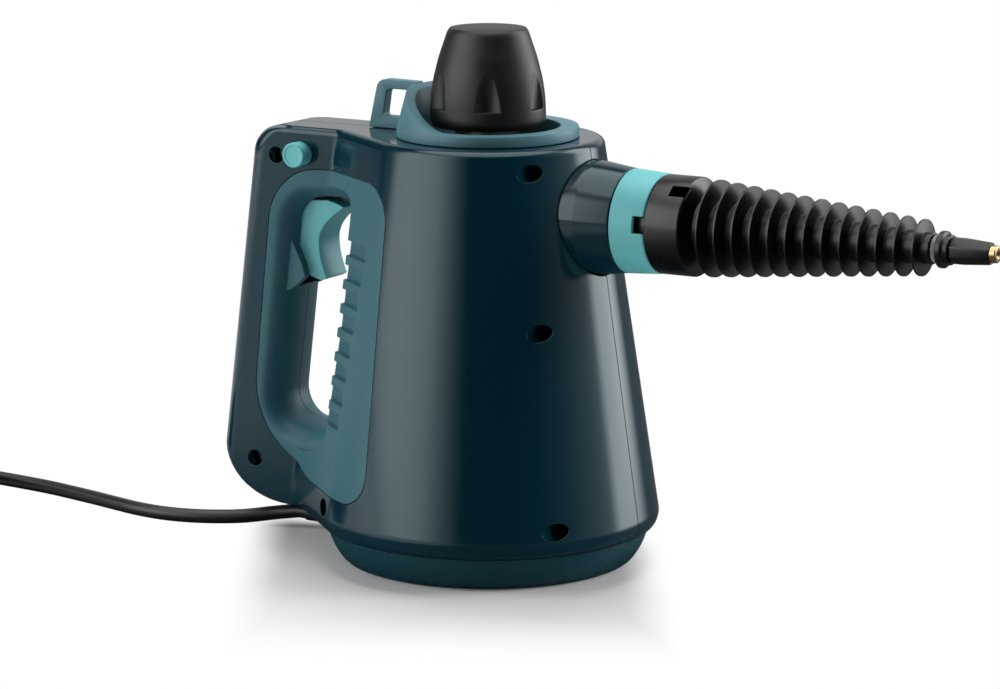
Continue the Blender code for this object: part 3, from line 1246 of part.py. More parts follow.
def make_tip(materials):
    """Make the lance tube and the washer, flange, sheath and brass tip on it."""
    centre = (0, 0, SPOUT_Z)
    washer_rear = nozzle_end() + GAP
    flange_rear = washer_rear + WASHER_THICKNESS + GAP
    sheath_rear = flange_rear + FLANGE_LENGTH + GAP
    sheath_front = sheath_rear + SHEATH_LENGTH
    tip_rear = sheath_front + TIP_PROUD - TIP_LENGTH
    bore = LANCE_RADIUS + GAP
    lance = pipe("lance_tube", LANCE_RADIUS, LANCE_BORE_RADIUS, OUTLET_FRONT_X + GAP, tip_rear - GAP,
                 LANCE_SIDES, "X", centre)
    finish(lance, materials["steel"], (tip_rear, 0, SPOUT_Z))
    washer = pipe("nozzle_washer", WASHER_RADIUS, bore, washer_rear, washer_rear + WASHER_THICKNESS,
                  WASHER_SIDES, "X", centre)
    finish(washer, materials["silicone"], (washer_rear, 0, SPOUT_Z))
    front = flange_rear + FLANGE_LENGTH
    flange = turned("nozzle_flange", [(bore, flange_rear), (FLANGE_RADIUS, flange_rear),
                                      (FLANGE_RADIUS, flange_rear + FLANGE_LENGTH / 3),
                                      (FLANGE_NECK_RADIUS, flange_rear + FLANGE_LENGTH / 2),
                                      (FLANGE_NECK_RADIUS, front), (bore, front)],
                    FLANGE_SIDES, "X", centre)
    finish(flange, materials["black_plastic"], (flange_rear, 0, SPOUT_Z))
    tip_bore = TIP_RADIUS + GAP
    sheath = turned("tip_sheath", [(bore, sheath_rear), (SHEATH_REAR_RADIUS, sheath_rear),
                                   (SHEATH_REAR_RADIUS, sheath_rear + SHEATH_LENGTH / 3),
                                   (SHEATH_FRONT_RADIUS, sheath_front), (tip_bore, sheath_front),
                                   (tip_bore, tip_rear - 2 * GAP), (bore, tip_rear - 2 * GAP)],
                    SHEATH_SIDES, "X", centre, math.pi / SHEATH_SIDES)
    finish(sheath, materials["black_plastic"], (sheath_rear, 0, SPOUT_Z))
    tip_front = tip_rear + TIP_LENGTH
    tip = turned("brass_tip", [(TIP_BORE_RADIUS, tip_rear), (TIP_RADIUS - GAP, tip_rear),
                               (TIP_RADIUS - GAP, tip_front - GAP), (TIP_RADIUS - 3 * GAP, tip_front),
                               (TIP_BORE_RADIUS, tip_front)], LANCE_SIDES, "X", centre)
    finish(tip, materials["brass"], (tip_rear, 0, SPOUT_Z))


# Lock button

def make_lock_button(material):
    """Make the bolt that slides across the handle to lock the trigger."""
    half = HANDLE_THICKNESS / 2
    waist = BUTTON_WAIST_LENGTH / 2
    near = -half - BUTTON_PROUD
    profile = [(0, near), (BUTTON_RADIUS - 2 * GAP, near), (BUTTON_RADIUS, near + 2 * GAP),
               (BUTTON_RADIUS, -waist), (BUTTON_WAIST_RADIUS, -waist), (BUTTON_WAIST_RADIUS, waist),
               (BUTTON_RADIUS, waist), (BUTTON_RADIUS, half), (0, half)]
    button = turned("lock_button", profile, BUTTON_SIDES, "Y", (BUTTON_X, 0, BUTTON_Z))
    return finish(button, material, (BUTTON_X, 0, BUTTON_Z))


# Mains lead

def make_gland(material):
    """Make the tapered strain relief that grips the lead in the base cup's wall."""
    inner_end = GLAND_INNER_X + GLAND_FLANGE_LENGTH
    outer_end = GLAND_OUTER_X - GLAND_FLANGE_LENGTH
    tip = outer_end - GLAND_TAPER_LENGTH
    profile = [(0, tip), (GLAND_TIP_RADIUS, tip), (GLAND_NECK_RADIUS + GAP, outer_end),
               (GLAND_FLANGE_RADIUS, outer_end), (GLAND_FLANGE_RADIUS, GLAND_OUTER_X),
               (GLAND_NECK_RADIUS, GLAND_OUTER_X), (GLAND_NECK_RADIUS, GLAND_INNER_X),
               (GLAND_FLANGE_RADIUS, GLAND_INNER_X), (GLAND_FLANGE_RADIUS, inner_end), (0, inner_end)]
    return finish(turned("cord_gland", profile, GLAND_SIDES, "X", (0, 0, GLAND_Z)), material)


def make_terminal_block(material):
    """Make the terminal block on the base cup's floor, where the lead's wires end."""
    rear = GLAND_INNER_X + GLAND_FLANGE_LENGTH + TERMINAL_SETBACK
    low = BASE_FLOOR + GAP
    half = TERMINAL_WIDTH / 2
    block = box("terminal_block", (rear, rear + TERMINAL_LENGTH), (-half, half),
                (low, low + TERMINAL_HEIGHT))
    return finish(block, material)


def cord_start():
    """Return the point where the lead leaves the strain relief."""
    return (GLAND_OUTER_X - GLAND_FLANGE_LENGTH - GLAND_TAPER_LENGTH - GAP, 0, GLAND_Z)


def coil_centre():
    """Return the coil's centre in plan, and the height of its lowest turns."""
    outer = COIL_MIDDLE_RADIUS + COIL_PITCH * COIL_TURNS_A_LAYER / 2
    return COIL_START_X, COIL_START_Y - outer, CORD_RADIUS + TIE_THICKNESS + 2 * GAP


def coil_place(turns):
    """Return a point on the coil after a number of turns from its start.

    The radius falls and grows at a steady rate. The lead climbs one layer in the half
    turn about each place where the radius reverses.
    """
    x, y, low = coil_centre()
    inner = COIL_MIDDLE_RADIUS - COIL_PITCH * COIL_TURNS_A_LAYER / 2
    swing = turns / COIL_TURNS_A_LAYER
    phase = swing % 2
    radius = inner + COIL_PITCH * COIL_TURNS_A_LAYER * abs(phase - 1)
    layer = 0.0
    for k in range(1, COIL_LAYERS):
        into = min(max((turns - k * COIL_TURNS_A_LAYER) * 2 + 0.5, 0.0), 1.0)
        layer += (1 - math.cos(math.pi * into)) / 2
    angle = math.pi / 2 + math.tau * turns
    return (x + radius * math.cos(angle), y + radius * math.sin(angle), low + layer * COIL_PITCH)


def coil_points():
    """Return the coil's points, with a straight end one diameter long at both ends."""
    total = COIL_TURNS_A_LAYER * COIL_LAYERS
    count = round(total * COIL_POINTS_A_TURN)
    points = [coil_place(total * k / count) for k in range(count + 1)]
    straight = 2 * CORD_RADIUS
    first, last = points[0], points[-1]
    return [(first[0] + straight, first[1], first[2])] + points + [(last[0] - straight, last[1], last[2])]


def report_least_gap(name, points):
    """Measure how near a wound tube comes to itself, and print it."""
    places = np.array(points)
    along = np.concatenate([[0], np.cumsum(np.linalg.norm(np.diff(places, axis=0), axis=1))])
    apart = np.linalg.norm(places[:, None] - places[None], axis=2)
    far = np.abs(along[:, None] - along[None]) > math.pi * 2 * COIL_PITCH
    least = float(apart[far].min()) - 2 * CORD_RADIUS
    print(f"{name}: length {along[-1]:.3f} m, least gap to itself {least * 1000:.2f} mm")


def tail_points():
    """Return the short lead from the coil's top turn, round the coil and down to the plug."""
    straight = 2 * CORD_RADIUS
    x, y, high = coil_points()[-1]
    floor = PLUG_BODY_HEIGHT / 2
    bend_x = x - GAP - straight
    points = [(x - GAP, y, high)]
    for k in range(TAIL_STEPS + 1):
        share = k / TAIL_STEPS
        turn = TAIL_TURN * share
        fall = (share - TAIL_FALL_START_SHARE) / (TAIL_FALL_END_SHARE - TAIL_FALL_START_SHARE)
        fall = min(1.0, max(0.0, fall))
        points.append((bend_x - TAIL_RADIUS * math.sin(turn), y - TAIL_RADIUS * (1 - math.cos(turn)),
                       high + (floor - high) * (1 - math.cos(math.pi * fall)) / 2))
    end_x, end_y, _ = points[-1]
    points.append((end_x - straight * math.cos(TAIL_TURN), end_y - straight * math.sin(TAIL_TURN), floor))
    return points


def make_lead(materials):
    """Make the lead: the free stretch, the coil, the short tail and the tie."""
    black = materials["black_rubber"]
    coil = coil_points()
    straight = 2 * CORD_RADIUS
    x, y, z = cord_start()
    meet_x, meet_y, meet_z = coil[0]
    route = [(x - straight, y, z)] + list(CORD_ROUTE) + [(meet_x + GAP + straight, meet_y, meet_z)]
    free = [(x, y, z)] + smooth_points(route, CORD_POINT_STEP) + [(meet_x + GAP, meet_y, meet_z)]
    finish(tube("power_cord", free, CORD_RADIUS, CORD_SIDES_LEVEL), black)
    finish(tube("cord_coil", coil, CORD_RADIUS, 1), black)
    report_least_gap("cord_coil", coil)
    finish(tube("plug_lead", tail_points(), CORD_RADIUS, CORD_SIDES_LEVEL), black)
    make_tie(materials["black_plastic"])


def make_tie(material):
    """Make the strap round the coil's turns."""
    x, y, low = coil_centre()
    spread = COIL_PITCH * COIL_TURNS_A_LAYER / 2 + CORD_RADIUS + 2 * GAP
    bottom = low - CORD_RADIUS - 2 * GAP
    top = low + COIL_PITCH * (COIL_LAYERS - 1) + CORD_RADIUS + 2 * GAP
    near, far = COIL_MIDDLE_RADIUS - spread - TIE_SLACK, COIL_MIDDLE_RADIUS + spread
    corners = [(near, bottom, GAP), (far, bottom, GAP), (far, top, GAP), (near, top, GAP)]
    outer = rounded_outline(grown(corners, TIE_THICKNESS), 1)
    tie = band("coil_tie", outer, rounded_outline(corners, 1), -TIE_WIDTH / 2, TIE_WIDTH / 2)
    tie.location = (x, y, 0)
    tie.rotation_euler = (0, 0, TIE_ANGLE)
    return finish(tie, material)


def make_plug(materials):
    """Make the plug's moulded body and its three pins, lying beside the coil."""
    end = tail_points()[-1]
    heading = math.pi + TAIL_TURN
    half_width, half_height = PLUG_BODY_WIDTH / 2, PLUG_BODY_HEIGHT / 2
    nose_start = GAP
    body_start = nose_start + PLUG_NOSE_LENGTH
    body_end = body_start + PLUG_BODY_LENGTH
    chamfer = PLUG_BODY_CHAMFER

    def section(x, width, height, cut):
        return [(x, -width, -height + cut), (x, -width + cut, -height), (x, width - cut, -height),
                (x, width, -height + cut), (x, width, height - cut), (x, width - cut, height),
                (x, -width + cut, height), (x, -width, height - cut)]

    rings = [section(body_start - chamfer, half_width - chamfer, half_height - chamfer / 2, chamfer / 2),
             section(body_start + chamfer, half_width, half_height, chamfer),
             section(body_end - chamfer / 2, half_width, half_height, chamfer),
             section(body_end, half_width - chamfer / 2, half_height - chamfer / 2, chamfer / 2)]
    body = loft("plug_body", rings)
    nose = turned("plug_nose", [(0, nose_start), (PLUG_NOSE_TIP_RADIUS, nose_start),
                                (PLUG_NOSE_RADIUS, body_start), (0, body_start)], PIN_SIDES, "X")
    pieces = [(body, "black_rubber")]
    for k in range(PLUG_PIN_COUNT):
        offset = (k - (PLUG_PIN_COUNT - 1) / 2) * PLUG_PIN_SPACING
        pin = rod(f"plug_pin_{k + 1}", PLUG_PIN_RADIUS, body_end + GAP, body_end + GAP + PLUG_PIN_LENGTH,
                  SCREW_SIDES, "X", (0, offset, 0))
        pieces.append((pin, "nickel_pin"))
    for piece in [nose] + [piece for piece, _ in pieces]:
        piece.location = end
        piece.rotation_euler = (0, 0, heading)
    combine(body, nose, "UNION")
    for piece, material in pieces:
        finish(piece, materials[material])


def main():
    """Build the steam cleaner."""
    clear_scene()
    materials = make_materials()
    shell, grip = materials["dark_gloss_shell"], materials["soft_touch_grip"]
    accent, black = materials["light_accent"], materials["black_plastic"]
    brass, steel = materials["brass"], materials["steel"]
    make_shell("right_shell", -1, shell)
    make_shell("left_shell", 1, shell)
    for k, (x, z) in enumerate(screw_places()):
        make_screw(f"housing_screw_{k + 1}", x, z, steel)
    make_grip_panel("right_grip_panel", -1, grip)
    make_grip_panel("left_grip_panel", 1, grip)
    make_base_cup(shell)
    make_collar(materials["pale_collar"])
    make_trigger(accent)
    make_trigger_pin(steel)
    make_trigger_spring(steel)
    make_lock_button(accent)
    make_boiler(materials["aluminium"])
    make_neck(brass)
    make_neck_seal(materials["black_rubber"])
    make_element(steel)
    make_thermostat(materials["white_ceramic"])
    make_fuse(steel)
    make_valve(brass)
    make_stem_and_rod(steel)
    make_pipe(steel)
    make_outlet(brass)
    make_cap_knob(black)
    make_cap_plug(brass)
    make_cap_gasket(materials["silicone"])
    make_sleeve(shell)
    make_ring(accent)
    make_nozzle(black)
    make_tip(materials)
    make_gland(materials["black_rubber"])
    make_terminal_block(materials["white_ceramic"])
    make_lead(materials)
    make_plug(materials)


main()
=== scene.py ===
"""Looks of a handheld steam cleaner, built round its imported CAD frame.

Everything is in metres, in the frame's own axes: the origin is on the boiler's axis
at the floor, +X runs along the spout, +Z is up, and the housing screws face -Y. Each
sub-assembly is a class that holds its sizes, builds its meshes and dresses them.
"""

import logging
import math
from dataclasses import dataclass
from enum import Enum
from typing import Any, Iterable, Sequence

import bmesh
import bpy
import numpy as np
from mathutils import Matrix, Vector

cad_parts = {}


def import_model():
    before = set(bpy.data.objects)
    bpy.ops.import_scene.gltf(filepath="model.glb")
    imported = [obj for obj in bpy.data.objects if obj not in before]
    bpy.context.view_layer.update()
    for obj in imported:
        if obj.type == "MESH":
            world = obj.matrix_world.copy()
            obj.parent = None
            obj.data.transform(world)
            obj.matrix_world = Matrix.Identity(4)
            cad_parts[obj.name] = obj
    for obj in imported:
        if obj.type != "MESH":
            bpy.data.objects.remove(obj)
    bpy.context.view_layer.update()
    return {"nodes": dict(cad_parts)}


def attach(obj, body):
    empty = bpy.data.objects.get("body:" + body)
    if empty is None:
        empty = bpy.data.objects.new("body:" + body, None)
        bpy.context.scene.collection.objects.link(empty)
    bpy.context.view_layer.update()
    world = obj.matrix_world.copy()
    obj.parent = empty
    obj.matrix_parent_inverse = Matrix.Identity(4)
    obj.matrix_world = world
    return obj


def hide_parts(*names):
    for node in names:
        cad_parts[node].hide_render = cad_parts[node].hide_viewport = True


LOG = logging.getLogger("steam_cleaner")

Point = tuple[float, float, float]
Flat = tuple[float, float]
Corner = tuple[float, float, float]
Piece = bpy.types.Object
Tree = bpy.types.NodeTree

MM = 0.001
# The gap between fitted pieces, and how far a cutter runs past what it cuts
FIT = 0.3 * MM
PAST = 4.0 * MM
# Edges past this angle stay sharp in the shading
SMOOTH_ANGLE = math.radians(30)

# Sizes and places that several sub-assemblies share
SEAM_Z = 15.0 * MM
SEAM_RADIUS = 70.0 * MM
TOP_Z = 183.6 * MM
SHELL_WALL = 2.6 * MM
SPOUT_Z = 152.8 * MM
SLEEVE_RADIUS = 24.2 * MM
SLEEVE_ROOT = 46.0 * MM
SLEEVE_FRONT = 70.0 * MM
NOZZLE_START = 86.0 * MM
LANCE_BORE = 2.9 * MM
TRIGGER_PIVOT: Flat = (-95.5 * MM, 152.0 * MM)
HUB_RADIUS = 4.2 * MM
PIN_BORE = 2.2 * MM
BUTTON_PLACE: Flat = (-83.7 * MM, 172.0 * MM)
BUTTON_RADIUS = 5.4 * MM
LEAD_Z = 8.0 * MM
# Where the bayonet's lugs enter, and how far they turn, in degrees about the spout
BAYONET_ENTRY = -96
BAYONET_TURN = 30

# Settings that many nodes share
WHITE = (1.0, 1.0, 1.0, 1.0)
MULTIPLY = {"operation": "MULTIPLY"}
MAXIMUM = {"operation": "MAXIMUM"}
DOT_PRODUCT = {"operation": "DOT_PRODUCT"}
SMOOTHSTEP = {"interpolation_type": "SMOOTHSTEP"}
FLOAT = {"data_type": "FLOAT"}


class Cut(Enum):
    """What a helper does to the piece that it meets."""

    AWAY = "DIFFERENCE"
    JOIN = "UNION"
    KEEP = "INTERSECT"


class Axis(Enum):
    """The axis that a turned piece is turned about."""

    X = "X"
    Y = "Y"
    Z = "Z"


class Side(Enum):
    """The side of the middle plane that a piece lies on."""

    NEAR = -1
    FAR = 1


# Meshes

def linked(name: str, data: bpy.types.ID) -> Piece:
    """Wrap a mesh, curve, lamp or camera in an object of the scene.

    Args:
        name: The object's name.
        data: What it shows or holds.

    Returns:
        The new object.
    """
    obj = bpy.data.objects.new(name, data)
    bpy.context.scene.collection.objects.link(obj)
    return obj


def settled(name: str, bm: bmesh.types.BMesh) -> Piece:
    """Turn a bmesh into an object of the scene as it is.

    Args:
        name: The object's name.
        bm: The mesh being built, which is freed.

    Returns:
        The new object.
    """
    mesh = bpy.data.meshes.new(name)
    bm.to_mesh(mesh)
    bm.free()
    return linked(name, mesh)


def object_from(name: str, bm: bmesh.types.BMesh) -> Piece:
    """Turn a bmesh into an object whose faces point outwards.

    Args:
        name: The object's name.
        bm: The mesh being built, which is freed.

    Returns:
        The new object.
    """
    bmesh.ops.recalc_face_normals(bm, faces=bm.faces)
    if bm.calc_volume(signed=True) < 0:
        bmesh.ops.reverse_faces(bm, faces=bm.faces)
    return settled(name, bm)


def loft(name: str, rings: Sequence[Sequence[Point]]) -> Piece:
    """Skin closed rings of equal length with triangles and cap both ends.

    Args:
        name: The object's name.
        rings: The rings of points, one after another.

    Returns:
        The closed body.
    """
    bm = bmesh.new()
    rows = [[bm.verts.new(point) for point in ring] for ring in rings]
    count = len(rows[0])
    for low, high in zip(rows, rows[1:]):
        for k in range(count):
            following = (k + 1) % count
            bm.faces.new((low[k], low[following], high[following]))
            bm.faces.new((low[k], high[following], high[k]))
    bm.faces.new(rows[0])
    bm.faces.new(rows[-1])
    return object_from(name, bm)


def prism(name: str, outlines: Sequence[Sequence[Flat]], y_from: float, y_to: float) -> Piece:
    """Stretch outlines along Y, as separate bodies of one object.

    Args:
        name: The object's name.
        outlines: Closed outlines of (x, z) points.
        y_from: Where the bodies start.
        y_to: Where the bodies end.

    Returns:
        The object that holds the bodies.
    """
    bm = bmesh.new()
    for outline in outlines:
        near, far = ([bm.verts.new((x, y, z)) for x, z in outline] for y in (y_from, y_to))
        bm.faces.new(near)
        bm.faces.new(far)
        for k in range(len(outline)):
            bm.faces.new((near[k - 1], near[k], far[k], far[k - 1]))
    return object_from(name, bm)


def turned(name: str, profile: Sequence[Flat], sides: int, axis: Axis = Axis.Z,
           centre: Point = (0, 0, 0), phase: float = 0) -> Piece:
    """Turn a closed profile about an axis.

    Args:
        name: The object's name.
        profile: Points of (radius, height), in order round the profile.
        sides: How many sides a full turn has.
        axis: The axis to turn about.
        centre: A point on that axis, where heights start.
        phase: The angle of the first side.

    Returns:
        The closed body.
    """
    bm = bmesh.new()
    rows = []
    for radius, height in profile:
        row = []
        for k in range(sides if radius > 0 else 1):
            angle = phase + math.tau * k / sides
            across, up = radius * math.cos(angle), radius * math.sin(angle)
            local = {Axis.X: (height, across, up), Axis.Y: (across, height, up),
                     Axis.Z: (across, up, height)}[axis]
            row.append(bm.verts.new([a + b for a, b in zip(local, centre)]))
        rows.append(row)
    for first, second in zip(rows, rows[1:] + rows[:1]):
        if len(first) == len(second) == 1:
            continue
        for k in range(sides):
            corners = [first[k % len(first)], first[(k + 1) % len(first)],
                       second[(k + 1) % len(second)], second[k % len(second)]]
            bm.faces.new(list(dict.fromkeys(corners)))
    return object_from(name, bm)


def rod(name: str, radius: float, start: float, end: float, sides: int, axis: Axis = Axis.Z,
        centre: Point = (0, 0, 0)) -> Piece:
    """Make a plain round cutter or bar between two heights along an axis.

    Args:
        name: The object's name.
        radius: The bar's radius.
        start: Where it starts along the axis.
        end: Where it ends along the axis.
        sides: How many sides it has.
        axis: The axis that it lies along.
        centre: A point on that axis.

    Returns:
        The closed body.
    """
    return turned(name, [(0, start), (radius, start), (radius, end), (0, end)], sides, axis, centre)


def box(name: str, low: Point, high: Point) -> Piece:
    """Make a box cutter from its lowest and highest corners."""
    outline = [(low[0], low[2]), (high[0], low[2]), (high[0], high[2]), (low[0], high[2])]
    return prism(name, [outline], low[1], high[1])


def move(obj: Piece, matrix: Matrix) -> Piece:
    """Move an object's mesh, and leave the object at the origin."""
    obj.data.transform(matrix)
    return obj


def bake(obj: Piece) -> Piece:
    """Turn an object's live modifiers into plain mesh.

    Args:
        obj: The object, which keeps its name and materials.

    Returns:
        The same object, without modifiers.
    """
    bpy.context.view_layer.update()
    mesh = bpy.data.meshes.new_from_object(obj.evaluated_get(bpy.context.evaluated_depsgraph_get()))
    obj.modifiers.clear()
    obj.data = mesh
    return obj


def combine(obj: Piece, *helpers: Piece, how: Cut = Cut.AWAY) -> Piece:
    """Cut, join or keep what an object shares with helpers, and remove the helpers.

    Args:
        obj: The object that is changed.
        helpers: The bodies that it is cut with or joined to, one after another.
        how: What the helpers do.

    Returns:
        The same object, baked.
    """
    for helper in helpers:
        modifier = obj.modifiers.new(helper.name, "BOOLEAN")
        modifier.operation = how.value
        modifier.solver = "EXACT"
        modifier.object = helper
    bake(obj)
    for helper in helpers:
        bpy.data.objects.remove(helper)
    return obj


def round_edges(obj: Piece, width: float, segments: int = 2, angle: float = 35) -> Piece:
    """Round an object's sharp edges with a bevel, and bake it.

    Args:
        obj: The object to round.
        width: The bevel's width.
        segments: How many faces the round has.
        angle: The least angle of an edge that counts as sharp, in degrees.

    Returns:
        The same object.
    """
    modifier = obj.modifiers.new("round", "BEVEL")
    modifier.width = width
    modifier.segments = segments
    modifier.limit_method = "ANGLE"
    modifier.angle_limit = math.radians(angle)
    modifier.use_clamp_overlap = True
    return bake(obj)


def join(name: str, parts: Sequence[Piece]) -> Piece:
    """Put several bodies into one object, with their materials.

    Args:
        name: The new object's name.
        parts: The bodies, whose objects are removed.

    Returns:
        The object that holds them all.
    """
    bm = bmesh.new()
    for part in parts:
        bm.from_mesh(part.data)
    for part in parts:
        bpy.data.objects.remove(part)
    return settled(name, bm)


def dress(obj: Piece, finish: "Finish", body: str, nodes: Iterable[str]) -> Piece:
    """Give a finished piece its material and shading, and tell the frame about it.

    Args:
        obj: The finished piece, at the origin.
        finish: What it is made of, and how its surface was made.
        body: The CAD body that it moves with.
        nodes: The CAD nodes that it stands for.

    Returns:
        The same object.
    """
    obj.data.materials.clear()
    obj.data.materials.append(finish.make())
    if obj.type == "MESH":
        for face in obj.data.polygons:
            face.material_index = 0
        obj.data.shade_smooth()
        obj.data.set_sharp_from_angle(angle=SMOOTH_ANGLE)
    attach(obj, body)
    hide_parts(*nodes)
    count = len(obj.data.polygons) if obj.type == "MESH" else 0
    LOG.info("%s: %d faces, rides on %s", obj.name, count, body)
    return obj


# Outlines

def rounded(corners: Sequence[Corner], steps: int) -> list[Flat]:
    """Round a polygon's corners with arcs.

    Args:
        corners: Corners of (x, z, radius), in order.
        steps: How many steps each arc has.

    Returns:
        The outline's points.
    """
    points = []
    count = len(corners)
    for k, (x, z, radius) in enumerate(corners):
        here = Vector((x, z))
        before = (Vector(corners[k - 1][:2]) - here).normalized()
        after = (Vector(corners[(k + 1) % count][:2]) - here).normalized()
        half_angle = before.angle(after) / 2
        centre = here + (before + after).normalized() * radius / math.sin(half_angle)
        start = here + before * radius / math.tan(half_angle) - centre
        end = here + after * radius / math.tan(half_angle) - centre
        for step in range(steps + 1):
            spoke = start.lerp(end, step / steps).normalized() * radius
            points.append(tuple(centre + spoke))
    return points


def grown(corners: Sequence[Corner], margin: float) -> list[Corner]:
    """Move a polygon's sides out by a margin, and its corner radii with them.

    Args:
        corners: Corners of (x, z, radius), in order.
        margin: How far the sides move out.

    Returns:
        The new corners.
    """
    result = []
    area = sum(a[0] * b[1] - b[0] * a[1] for a, b in zip(corners, list(corners[1:]) + [corners[0]]))
    turn = 1 if area > 0 else -1
    for k, (x, z, radius) in enumerate(corners):
        here = Vector((x, z))
        before = here - Vector(corners[k - 1][:2])
        after = Vector(corners[(k + 1) % len(corners)][:2]) - here
        out_before = turn * Vector((before.y, -before.x)).normalized()
        out_after = turn * Vector((after.y, -after.x)).normalized()
        push = (out_before + out_after) * margin / (1 + out_before.dot(out_after))
        result.append((x + push.x, z + push.y, radius + margin))
    return result


def fillet(profile: Sequence[Corner], steps: int = 4) -> list[Flat]:
    """Round the corners of an open or closed profile that name a radius.

    Args:
        profile: Points of (radius, height, round), where a round of 0 keeps the corner.
        steps: How many steps each round has.

    Returns:
        The profile as (radius, height) points.
    """
    points: list[Flat] = []
    count = len(profile)
    for k, (r, h, bend) in enumerate(profile):
        if bend <= 0:
            points.append((r, h))
            continue
        here = Vector((r, h))
        before = Vector(profile[k - 1][:2]) - here
        after = Vector(profile[(k + 1) % count][:2]) - here
        half_angle = before.angle(after) / 2
        reach = min(bend / math.tan(half_angle), before.length * 0.49, after.length * 0.49)
        start = here + before.normalized() * reach
        end = here + after.normalized() * reach
        for step in range(steps + 1):
            share = step / steps
            point = start * (1 - share) ** 2 + here * 2 * share * (1 - share) + end * share ** 2
            points.append((point.x, point.y))
    return points


def smooth_points(route: Sequence[Point], step: float) -> list[Point]:
    """Read points at even steps from a smooth curve through a route.

    Args:
        route: The points that the curve goes through.
        step: The distance between the points that are read.

    Returns:
        The points along the curve.
    """
    points = np.array(route)
    padded = np.vstack([2 * points[0] - points[1], points, 2 * points[-1] - points[-2]])
    dense = []
    for a, b, c, d in zip(padded, padded[1:], padded[2:], padded[3:]):
        for t in np.linspace(0, 1, 24, endpoint=False):
            dense.append((2 * b + (c - a) * t + (2 * a - 5 * b + 4 * c - d) * t ** 2
                          + (3 * b - a - 3 * c + d) * t ** 3) / 2)
    dense = np.array(dense + [points[-1]])
    along = np.concatenate([[0], np.cumsum(np.linalg.norm(np.diff(dense, axis=0), axis=1))])
    marks = np.linspace(0, along[-1], max(2, round(along[-1] / step)) + 1)
    return [tuple(float(np.interp(mark, along, dense[:, k])) for k in range(3)) for mark in marks]


# Finishes

def linear(hex_colour: str) -> tuple[float, float, float, float]:
    """Turn an sRGB hex colour into the linear colour that a shader takes.

    Args:
        hex_colour: Six hex digits, with or without a leading hash sign.

    Returns:
        Linear red, green, blue and an alpha of one.
    """
    digits = hex_colour.lstrip("#")
    channels = []
    for k in (0, 2, 4):
        value = int(digits[k:k + 2], 16) / 255
        channels.append(value / 12.92 if value <= 0.04045 else ((value + 0.055) / 1.055) ** 2.4)
    return (*channels, 1.0)


def add_node(tree: Tree, kind: str, settings: dict[str, Any] | None = None,
             **inputs: Any) -> bpy.types.Node:
    """Add a node with its settings, its values and its links.

    Args:
        tree: The tree that gets the node.
        kind: The node's type name.
        settings: Properties of the node itself.
        **inputs: A value or an output socket for each named input, with _ for a space.
            A name such as i0 stands for the input with that number.

    Returns:
        The new node.
    """
    node = tree.nodes.new(kind)
    for key, value in (settings or {}).items():
        setattr(node, key, value)
    for key, value in inputs.items():
        numbered = key[0] == "i" and key[1:].isdigit()
        socket = node.inputs[int(key[1:])] if numbered else node.inputs[key.replace("_", " ")]
        if isinstance(value, bpy.types.NodeSocket):
            tree.links.new(value, socket)
        else:
            socket.default_value = value
    return node


@dataclass(frozen=True)
class Ground:
    """What a finish builds on: its tree, its shader, and a slow and a fine noise."""

    tree: Tree
    shader: bpy.types.Node
    drift: bpy.types.NodeSocket
    fine: bpy.types.NodeSocket


